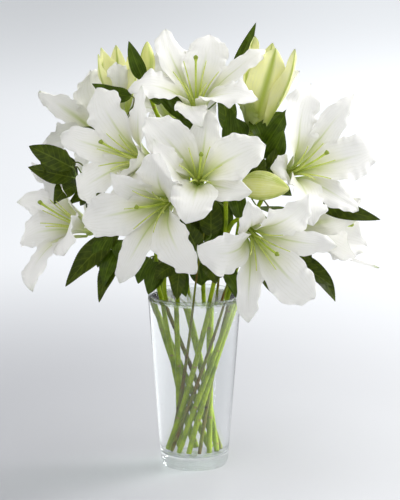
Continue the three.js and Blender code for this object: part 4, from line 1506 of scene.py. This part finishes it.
        def lift(u: np.ndarray, v: np.ndarray) -> np.ndarray:
            """The leaf's waves, its sunken midrib and the quilting between its veins.

            Args:
                u: shares along the leaf.
                v: places across it, from -1 to 1.

            Returns:
                One height for each pair.
            """
            swell = plan.wave * np.sin(math.pi * u)
            phase = np.where(v < 0, 2.6, 0.0)
            made = swell * v * v * np.sin(2 * math.pi * 1.6 * u + phase)
            made = made - 0.5 * np.exp(-((v / 0.08) ** 2)) * np.sin(math.pi * u)
            if salal:
                slant = (u * SALAL_VEINS - np.abs(v) * SALAL_VEIN_SLANT + 0.5) % 1.0 - 0.5
                made = made - 0.35 * np.exp(-((slant / 0.14) ** 2)) * (1 - v * v)
            return made

        def stand(u: np.ndarray, v: np.ndarray, upper: np.ndarray) -> np.ndarray:
            """Half the leaf's thickness, with the midrib on its back.

            Args:
                u: shares along the leaf.
                v: places across it, from -1 to 1.
                upper: whether each is on the upper face.

            Returns:
                One distance from the middle surface for each place.
            """
            ends = np.minimum(1, u / 0.01) * np.minimum(1, (1 - u) / 0.01)
            rib = np.where(upper, 0.0, 0.7 * np.exp(-((v / 0.09) ** 2)) * (1 - 0.7 * u))
            return (0.25 * np.sqrt(np.maximum(0, 1 - v**6)) + rib) * ends

        spine = (centre, sides, np.cross(way, sides))
        bend = np.full(rows + 1, self.blade_bend)
        mesh.blade(spine, wide, bend, lift, stand, self.blade_columns, (0, 1))

    def build(self) -> list[bpy.types.Object]:
        """Makes each stem as one piece and its leaves as another.

        Returns:
            The pieces.
        """
        lily = GreenSkin("lily_stem_skin", "#88a010", "#5e760a", "#a8bc2c").build()
        bark = GreenSkin(
            "salal_bark", "#66701c", "#6b4018", "#808832", scar="#4a3420", roughness=0.5
        ).build()
        twig = GreenSkin("leaf_stalk_skin", "#5d6f30", "#6b4a2c", "#6f8438").build()
        salal_top = LeafSkin("salal_leaf_top", "#323f04", "#475609", "#6c7c22", LeafKind.SALAL).build()
        salal_back = LeafSkin(
            "salal_leaf_back", "#475a12", "#546818", "#78892c", LeafKind.SALAL, roughness=0.5
        ).build()
        lily_top = LeafSkin("lily_leaf_top", "#384a06", "#4a600c", "#687e20", LeafKind.LILY).build()
        lily_back = LeafSkin(
            "lily_leaf_back", "#4e6812", "#5a741a", "#788e2c", LeafKind.LILY, roughness=0.48
        ).build()
        pieces: list[bpy.types.Object] = []
        for index, plan in enumerate(STEMS):
            curves = self.curves(plan, index)
            mesh = PieceMesh()
            leafy = plan.end is not None
            foot = SALAL_STEM_RADIUS if leafy else LILY_STEM_RADIUS
            top = SALAL_TOP_RADIUS if leafy else LILY_TOP_RADIUS
            for k, curve in enumerate(curves):
                end = None if leafy else self.seat(plan.tops[k])[0]
                path = self.path(curve, self.line(index)[0] if k == 0 else None, end)
                wide = foot if k == 0 else top
                self.stalk(mesh, path, wide, top, 0.0 if leafy else self.neck_swell, 3 * index + k)
            finishes = [bark if leafy else lily]
            pieces.append(mesh.finish(plan.name + "_stalk", finishes, [plan.name], "lily_stem"))
            grown = [leaf for leaf in (*LEAVES, *INNER_LEAVES) if leaf.stem == plan.name]
            if not grown:
                continue
            leaves = PieceMesh()
            for leaf in grown:
                self.leaf(leaves, leaf, curves[leaf.curve])
            finishes = [salal_top, salal_back, twig] if leafy else [lily_top, lily_back, twig]
            pieces.append(leaves.finish(plan.name + "_leaves", finishes, [plan.name], "salal_leaf"))
        return pieces


@dataclass(frozen=True)
class PetalForm:
    """What tells the three broad inner petals of a bloom from the three narrow outer ones.

    It holds half the greatest width, the share of the length where that lies, how blunt the tip is,
    half the arc across the petal, the height of the wave at its edges, the depth of the groove over
    the midrib, the half width of the keel on its back, and how far the root stands out and leans.
    """

    half: float
    widest: float
    tip_power: float
    cup_deg: float
    ruffle: float
    groove: float
    keel: float
    root_step: float
    lean_deg: float


INNER_FORM = PetalForm(30.0, 0.56, 2.4, 56.0, 4.5, 2.4, 0.1, 0.0, 0.0)
OUTER_FORM = PetalForm(21.0, 0.5, 2.0, 34.0, 2.2, 1.2, 0.16, OUTER_ROOT_STEP, OUTER_LEAN_DEG)


@dataclass
class Petal:
    """The shape of one petal in the frame of its bloom, whose axis is +Z."""

    plan: PetalPlan
    form: PetalForm
    root: float
    size: float
    closed: bool
    seed: int
    rows: int = 60
    columns: int = 18
    substeps: int = 8

    def lean(self, t: np.ndarray) -> np.ndarray:
        """How far the midline leans from the bloom's axis.

        Args:
            t: shares of the length.

        Returns:
            The angle at each share, in radians.
        """
        tube = TUBE_LEAN_DEG + self.form.lean_deg
        spread = (self.plan.spread - tube) * smooth((t - 0.08) / 0.5)
        curl = self.plan.curl * smooth((t - 0.52) / 0.48)
        roll = 0.0 if self.plan.curl < 0 else 22.0 + 12.0 * math.sin(self.seed * 2.3)
        return np.radians(tube + spread + curl + roll * smooth((t - 0.8) / 0.2))

    def spine(self) -> tuple[np.ndarray, np.ndarray, np.ndarray]:
        """The midline.

        Returns:
            The rows' middle points, side vectors and upward vectors.
        """
        count = self.rows * self.substeps
        step = PETAL_LENGTH * self.size * self.plan.share / count
        lean = self.lean((np.arange(count) + 0.5) / count)
        start = ROOT_RADIUS + self.form.root_step
        reach = start + np.concatenate([[0.0], np.cumsum(np.sin(lean) * step)])
        height = np.concatenate([[0.0], np.cumsum(np.cos(lean) * step)])
        t = np.arange(count + 1) / count
        azimuth = np.radians(self.root + (self.plan.azimuth - self.root) * t**1.6)
        points = np.stack([reach * np.cos(azimuth), reach * np.sin(azimuth), height], axis=1)
        along = unit(np.gradient(points, axis=0))
        side = np.stack([-np.sin(azimuth), np.cos(azimuth), np.zeros(count + 1)], axis=1)
        side = square_to(side, along)
        side = turned(side, along, np.radians(self.plan.twist) * t * t)
        up = np.cross(along, side)
        pick = slice(None, None, self.substeps)
        return points[pick], side[pick], up[pick]

    def add_to(self, mesh: PieceMesh, slots: tuple[int, int]) -> None:
        """Adds the petal to its bloom.

        Args:
            mesh: the bloom's mesh.
            slots: the material slots of the petal's face and back.
        """
        form = self.form
        t = np.linspace(0, 1, self.rows + 1)
        past = np.clip((t - form.widest) / (1 - form.widest), 0, 1)
        claw = 0.14 + 0.86 * smooth(t / form.widest)
        half = form.half * self.size * claw * (1 - past**form.tip_power) ** 0.85
        opened = smooth((self.plan.spread - 15) / 40)
        flat = 0.78 * form.cup_deg * smooth((t - 0.2) / 0.45) + 20 * smooth((t - 0.6) / 0.4)
        bend = np.radians(form.cup_deg - opened * flat)
        phase = self.root * 0.7
        wild = self.seed * 1.37
        loose = 0.25 if self.closed and self.plan.curl < 0 else 1.0

        def sway(u: np.ndarray, v: np.ndarray, waves: float, start: float, other: float) -> np.ndarray:
            """A wave along the petal that differs from side to side.

            Args:
                u: shares along the petal.
                v: places across it, from -1 to 1.
                waves: how many waves it has.
                start: where it begins, in radians.
                other: how far the other side's wave is ahead, in radians.

            Returns:
                One value from -1 to 1 for each pair.
            """
            return np.sin(2 * math.pi * waves * u + start + np.where(v < 0, other, 0.0))

        def wide(u: np.ndarray, v: np.ndarray) -> np.ndarray:
            """Half the petal's width, with an outline that wavers.

            Args:
                u: shares along the petal.
                v: places across it, from -1 to 1.

            Returns:
                One half width for each pair.
            """
            swing = sway(u, v, 2.7, wild, 2.4) + 0.6 * sway(u, v, 6.3, 1.7 * wild, 0.9)
            waver = 1 + 0.05 * loose * swing * np.abs(v) ** 3 * smooth((u - 0.25) / 0.3)
            return half[np.rint(u * self.rows).astype(int)] * waver

        def lift(u: np.ndarray, v: np.ndarray) -> np.ndarray:
            """The wave of the edges, their fine frill, the fall of the sides, the groove and the pleats.

            Args:
                u: shares along the petal.
                v: places across it, from -1 to 1.

            Returns:
                One height for each pair.
            """
            fade = smooth((u - 0.3) / 0.3) * (1 - 0.7 * smooth((u - 0.85) / 0.15))
            edge = form.ruffle * np.abs(v) ** 2.5 * sway(u, v, 2.1, phase, 2.2)
            frill = sway(u, v, 5.3, wild, 1.9) + 0.6 * sway(u, v, 8.9, 2.1 * wild, 4.1)
            edge = edge + (0.6 * form.ruffle * loose) * np.abs(v) ** 4 * frill
            back = -1.6 * loose * opened * np.abs(v) ** 5 * smooth((u - 0.35) / 0.3)
            dip = (1 - smooth(np.abs(v) * 2.1)) * form.groove * (1 - 0.6 * u) * smooth(u / 0.2)
            ripple = 0.16 * np.sin(26 * v + 2.0 * np.sin(5 * u + wild)) * smooth(u / 0.3) * (1 - v * v)
            pleat = np.sin(9.5 * v + wild + 1.5 * np.sin(3.1 * u + wild)) * (1 - v * v)
            pleat = 0.5 * loose * pleat * smooth((u - 0.2) / 0.3) * (1 - smooth((u - 0.75) / 0.25))
            return edge * fade + back - dip + (ripple + pleat)

        def stand(u: np.ndarray, v: np.ndarray, upper: np.ndarray) -> np.ndarray:
            """Half the petal's thickness, greater at its root, with the keel on its back.

            Args:
                u: shares along the petal.
                v: places across it, from -1 to 1.
                upper: whether each is on the upper face.

            Returns:
                One distance from the middle surface for each place.
            """
            ends = np.minimum(1, u / 0.01) * np.minimum(1, (1 - u) / 0.012)
            body = (0.3 + 0.5 * (1 - smooth(u / 0.25))) * np.sqrt(np.maximum(0, 1 - v**6))
            keel = np.exp(-((v / form.keel) ** 2)) * (1.5 - 1.1 * u)
            return (body + np.where(upper, 0.0, keel)) * ends

        mesh.blade(self.spine(), wide, bend, lift, stand, self.columns, slots)


class BloomSlot(IntEnum):
    """The material slots of a bloom, in their order."""

    FACE = 0
    INNER_BACK = 1
    OUTER_BACK = 2
    RECEPTACLE = 3
    SEPAL = 4
    CURLED = 5


@dataclass
class Blooms:
    """The open and opening blooms, each with its receptacle, its pistil and its filaments."""

    # Radius, height and rounding at the corners of the receptacle
    receptacle: tuple[Point, ...] = (
        (0, -RECEPTACLE_DEPTH - 0.2, 0),
        (3.7, -RECEPTACLE_DEPTH, 0.5),
        (8.6, -1.5, 3.0),
        (8.0, 2.2, 1.4),
        (0, 2.2, 0),
    )
    receptacle_segments: int = 36
    receptacle_steps: int = 6
    pistil_rows: int = 46
    pistil_sides: int = 18
    pistil_length: float = 85.0
    pistil_bow: float = 9.0
    # Shares of the pistil's length, and its radius there: ovary, style and stigma
    girth_shares: tuple[float, ...] = (0, 0.05, 0.2, 0.26, 0.5, 0.9, 0.95, 0.985, 1.0)
    girth_radii: tuple[float, ...] = (2.6, 2.9, 2.5, 1.35, 1.15, 1.5, 2.7, 3.0, 1.4)
    filaments: int = 6
    filament_rows: int = 30
    filament_sides: int = 10
    filament_length: float = 65.0

    def petal_slots(self, plan: BloomPlan, petal: PetalPlan, inner: bool) -> tuple[int, int]:
        """The material slots of one petal.

        Args:
            plan: its bloom.
            petal: the petal.
            inner: whether it is one of the inner three.

        Returns:
            The slots of its face and its back.
        """
        if plan.closed and petal.curl < -10:
            return BloomSlot.SEPAL, BloomSlot.SEPAL
        if plan.closed and petal.curl > 50:
            return BloomSlot.CURLED, BloomSlot.CURLED
        return BloomSlot.FACE, BloomSlot.INNER_BACK if inner else BloomSlot.OUTER_BACK

    def bloom(self, plan: BloomPlan, number: int, finishes: list[bpy.types.Material]) -> bpy.types.Object:
        """Makes the petals of one bloom and the green receptacle that they rise from.

        Args:
            plan: the bloom.
            number: its number, which sets its ruffles apart from those of other blooms.
            finishes: the materials in the order of BloomSlot.

        Returns:
            The piece.
        """
        mesh = PieceMesh()
        for k, row in enumerate(plan.petals):
            inner = k % 2 == 0
            form = INNER_FORM if inner else OUTER_FORM
            petal = Petal(row, form, plan.turn + 60.0 * k, plan.size, plan.closed, 7 * number + k)
            petal.add_to(mesh, self.petal_slots(plan, row, inner))
        profile = rounded(list(self.receptacle), self.receptacle_steps)
        mesh.lathe(profile, self.receptacle_segments, BloomSlot.RECEPTACLE)
        mesh.move(*bloom_axes(plan.seat, plan.aim))
        return mesh.finish("bloom_" + plan.name, finishes, [plan.name + "_petals"], "petal")

    def style(self, plan: BloomPlan, finishes: list[bpy.types.Material]) -> bpy.types.Object:
        """Makes the pistil with its ovary and three-lobed stigma, and the six filaments.

        Args:
            plan: the bloom.
            finishes: the materials of the pistil and of the filaments.

        Returns:
            The piece.
        """
        mesh = PieceMesh()
        size = plan.size
        lean = plan.petals[0].spread / 70
        low = RECEPTACLE_RISE + SEAT_GAP
        t = np.linspace(0, 1, self.pistil_rows)
        bow = self.pistil_bow * t * t * size
        middle = np.stack([bow, 0 * t, low + self.pistil_length * size * t], axis=1)

        def girth(row: np.ndarray, turn: np.ndarray) -> np.ndarray:
            """The pistil's radius: a grooved ovary, a slim style and three lobes.

            Args:
                row: the numbers of the rings.
                turn: the angles round the pistil.

            Returns:
                One radius for each pair.
            """
            s = t[row]
            lobes = 1 + 0.2 * smooth((s - 0.92) / 0.05) * np.cos(3 * turn)
            lobes = lobes + 0.1 * smooth((0.24 - s) / 0.05) * np.cos(6 * turn)
            return np.interp(s, self.girth_shares, self.girth_radii) * lobes

        def ripe(row: np.ndarray, turn: np.ndarray) -> np.ndarray:
            """Where the stigma is."""
            return smooth((t[row] - 0.93) / 0.03)

        mesh.tube(middle, girth, self.pistil_sides, 0, ripe)
        s = np.linspace(0, 1, self.filament_rows)

        def thread(row: np.ndarray, turn: np.ndarray) -> np.ndarray:
            """A filament's radius, which falls towards its tip."""
            return 1.9 - 1.3 * s[row] ** 0.9

        for k in range(self.filaments):
            turn = math.radians(60 * k + 30)
            reach = 2.8 + (8 * s + 20 * s * s) * lean * size
            sway = 1.5 * np.sin(2.2 * s + k)
            path = np.stack([
                reach * math.cos(turn) - sway * math.sin(turn),
                reach * math.sin(turn) + sway * math.cos(turn),
                low + 0.4 + self.filament_length * size * s,
            ], axis=1)
            mesh.tube(path, thread, self.filament_sides, 1)
        mesh.move(*bloom_axes(plan.seat, plan.aim))
        return mesh.finish("style_" + plan.name, finishes, [plan.name + "_style"], "style")

    def build(self) -> list[bpy.types.Object]:
        """Makes every bloom as one piece and its style as another.

        Returns:
            The pieces.
        """
        # The yellow-green tints set low on these petals are partly painted shade inside the cup
        skins = [
            LilyPetal("petal_face"),
            LilyPetal(
                "petal_back_inner", throat="#c5d36c", throat_reach=0.3, rib_strength=0.5, wash_and_shade_strength=0.4
            ),
            LilyPetal(
                "petal_back_outer", throat="#bfcf62", rib="#c2cf72", throat_reach=0.4, rib_width=0.3,
                tip_green=0.7, wash_and_shade_strength=0.4,
            ),
            GreenSkin("receptacle_skin", "#a9bd58", "#8fa944", "#c0cf74"),
            LilyPetal(
                "sepal_back", white="#fafabe", wash_and_painted_shade="#e0e672", throat="#b0c036", rib="#b6c644",
                throat_reach=0.6, rib_strength=1.0, rib_width=0.28, rib_end=1.4, tip_green=0.4,
            ),
            LilyPetal(
                "curled_sepal", white="#a9b944", wash_and_painted_shade="#8c9e2a", throat="#7c9122", rib="#6c841c",
                rib_strength=0.8, rib_end=1.4,
            ),
        ]
        finishes = [skin.build() for skin in skins]
        pistil = GreenSkin("pistil_skin", "#b9cc4a", "#a2b738", "#d2dc7a", "#8a9a3a").build()
        filament = GreenSkin("filament_skin", "#ccd668", "#b0c247", "#e2e7a4").build()
        pieces: list[bpy.types.Object] = []
        for number, plan in enumerate(BLOOMS):
            pieces.append(self.bloom(plan, number, finishes))
            if plan.style:
                pieces.append(self.style(plan, [pistil, filament]))
        return pieces


@dataclass
class Buds:
    """The closed buds: three sepals with ribs, which meet in valleys."""

    rows: int = 64
    sides: int = 96
    foot_radius: float = 2.8
    keel: float = 0.1
    valley: float = 0.06
    stripe: float = 0.12

    def bud(self, plan: BudPlan, skin: bpy.types.Material) -> bpy.types.Object:
        """Makes one bud.

        Args:
            plan: the bud.
            skin: its material.

        Returns:
            The piece.
        """
        t = np.linspace(0, 1, self.rows)
        girth = plan.radius * np.sin(math.pi * np.clip(t, 1e-6, 1 - 1e-6) ** 0.8) ** 0.7
        girth[-1] = 0.0
        girth[0] = self.foot_radius

        def radius(row: np.ndarray, turn: np.ndarray) -> np.ndarray:
            """The bud's radius with its three keels, the valleys between them and its fine ribs.

            Args:
                row: the numbers of the rings.
                turn: the angles round the bud.

            Returns:
                One radius for each pair.
            """
            valley = np.exp(-(((turn * BUD_RIBS / math.pi) % 2 - 1) / 0.12) ** 2)
            keel = 1 + self.keel * np.cos(BUD_RIBS * turn) - self.valley * valley
            return girth[row] * keel + self.stripe * np.cos(BUD_STRIPES * turn) * np.sin(math.pi * t[row])

        mesh = PieceMesh()
        mesh.tube(np.stack([0 * t, 0 * t, plan.length * t], axis=1), radius, self.sides)
        mesh.move(*bloom_axes(plan.seat, plan.aim))
        return mesh.finish("closed_" + plan.name, [skin], [plan.name], "bud")

    def build(self) -> list[bpy.types.Object]:
        """Makes every bud."""
        skin = BudSkin("bud_skin").build()
        return [self.bud(plan, skin) for plan in BUDS]


@dataclass(frozen=True)
class SoftLamp:
    """One soft rectangular lamp: its place, the point it shines at and its size, all in metres."""

    name: str
    place: Point
    aim: Point
    size: tuple[float, float]
    watts: float
    colour: str = "#ffffff"

    def build(self) -> None:
        """Hangs the lamp, which the camera doesn't see."""
        light = bpy.data.lights.new(self.name, "AREA")
        light.shape = "RECTANGLE"
        light.size, light.size_y = self.size
        light.energy = self.watts
        light.color = linear(self.colour)[:3]
        lamp = bpy.data.objects.new(self.name, light)
        lamp.location = self.place
        lamp.visible_camera = False
        lamp.rotation_euler = (Vector(self.aim) - Vector(self.place)).to_track_quat("-Z", "Y").to_euler()
        bpy.context.scene.collection.objects.link(lamp)


@dataclass
class Studio:
    """The wide pale floor, the soft lamps, the surroundings and the camera."""

    elevation_deg: float = 11.0
    distance: float = 3000.0
    focal_px: float = 2208.0
    frame_px: float = 500.0
    sensor: float = 36.0
    target: Point = (7.5, 0.0, 299.7)
    floor_half_m: float = 16.0
    floor_gap_m: float = 0.0002
    lamps: tuple[SoftLamp, ...] = (
        SoftLamp("side_key", (4.1, 1.8, 2.55), (0.0, 0.0, 0.35), (3.2, 4.0), 390.0),
        SoftLamp("front_fill", (-0.9, -2.6, 1.6), (0.0, 0.0, 0.35), (2.4, 2.0), 20.0, "#fefeff"),
        SoftLamp("overhead", (0.3, -0.3, 2.6), (0.0, 0.0, 0.3), (2.0, 2.0), 22.0),
    )

    def camera(self) -> None:
        """Sets the camera at the photograph's angle."""
        data = bpy.data.cameras.new("camera")
        data.sensor_width = self.sensor
        data.lens = self.focal_px / self.frame_px * self.sensor
        data.clip_start = 0.05
        data.clip_end = 50.0
        camera = bpy.data.objects.new("camera", data)
        rise = math.radians(self.elevation_deg)
        back = Vector((0.0, -math.cos(rise), math.sin(rise))) * self.distance * METRES
        camera.location = Vector(self.target) * METRES + back
        camera.rotation_euler = (-back).to_track_quat("-Z", "Y").to_euler()
        bpy.context.scene.collection.objects.link(camera)
        bpy.context.scene.camera = camera

    def floor(self) -> None:
        """Lays the floor, a flat sheet that reaches beyond every view of the object."""
        bm = bmesh.new()
        bmesh.ops.create_grid(bm, x_segments=8, y_segments=8, size=self.floor_half_m)
        bmesh.ops.translate(bm, verts=bm.verts, vec=(0.0, 0.0, -self.floor_gap_m))
        mesh = bpy.data.meshes.new("floor")
        bm.to_mesh(mesh)
        bm.free()
        mesh.materials.append(StudioPaper("pale_paper").build())
        floor = bpy.data.objects.new("floor", mesh)
        bpy.context.scene.collection.objects.link(floor)

    def surroundings(self) -> None:
        """Fills the room with a weak even light, and shows the camera a pale grey beyond the floor."""
        world = bpy.data.worlds.new("studio")
        g = Graph(world)
        light = g.add("Background", {"Color": linear("#f0f2f4"), "Strength": 0.5})
        seen = g.add("Background", {"Color": linear("#e6e8eb"), "Strength": 1.0})
        ray = g.add("LightPath", {}, "Is Camera Ray")
        g.add("OutputWorld", {"Surface": g.add("MixShader", {0: ray, 1: light, 2: seen})})
        bpy.context.scene.world = world

    def build(self) -> None:
        """Makes the camera, floor, lamps and surroundings, and sets the plain view transform."""
        self.camera()
        self.floor()
        for lamp in self.lamps:
            lamp.build()
        self.surroundings()
        view = bpy.context.scene.view_settings
        view.view_transform = "Standard"
        view.look = "None"


def main() -> None:
    """Builds the studio and every piece of the part, and logs how many faces each piece has."""
    logging.basicConfig(level=logging.INFO, format="%(message)s")
    Studio().build()
    for assembly in (GlassVase(), Stems(), Blooms(), Buds()):
        for piece in assembly.build():
            LOG.info("%s has %d faces", piece.name, len(piece.data.polygons))


if __name__ == "__main__":
    main()
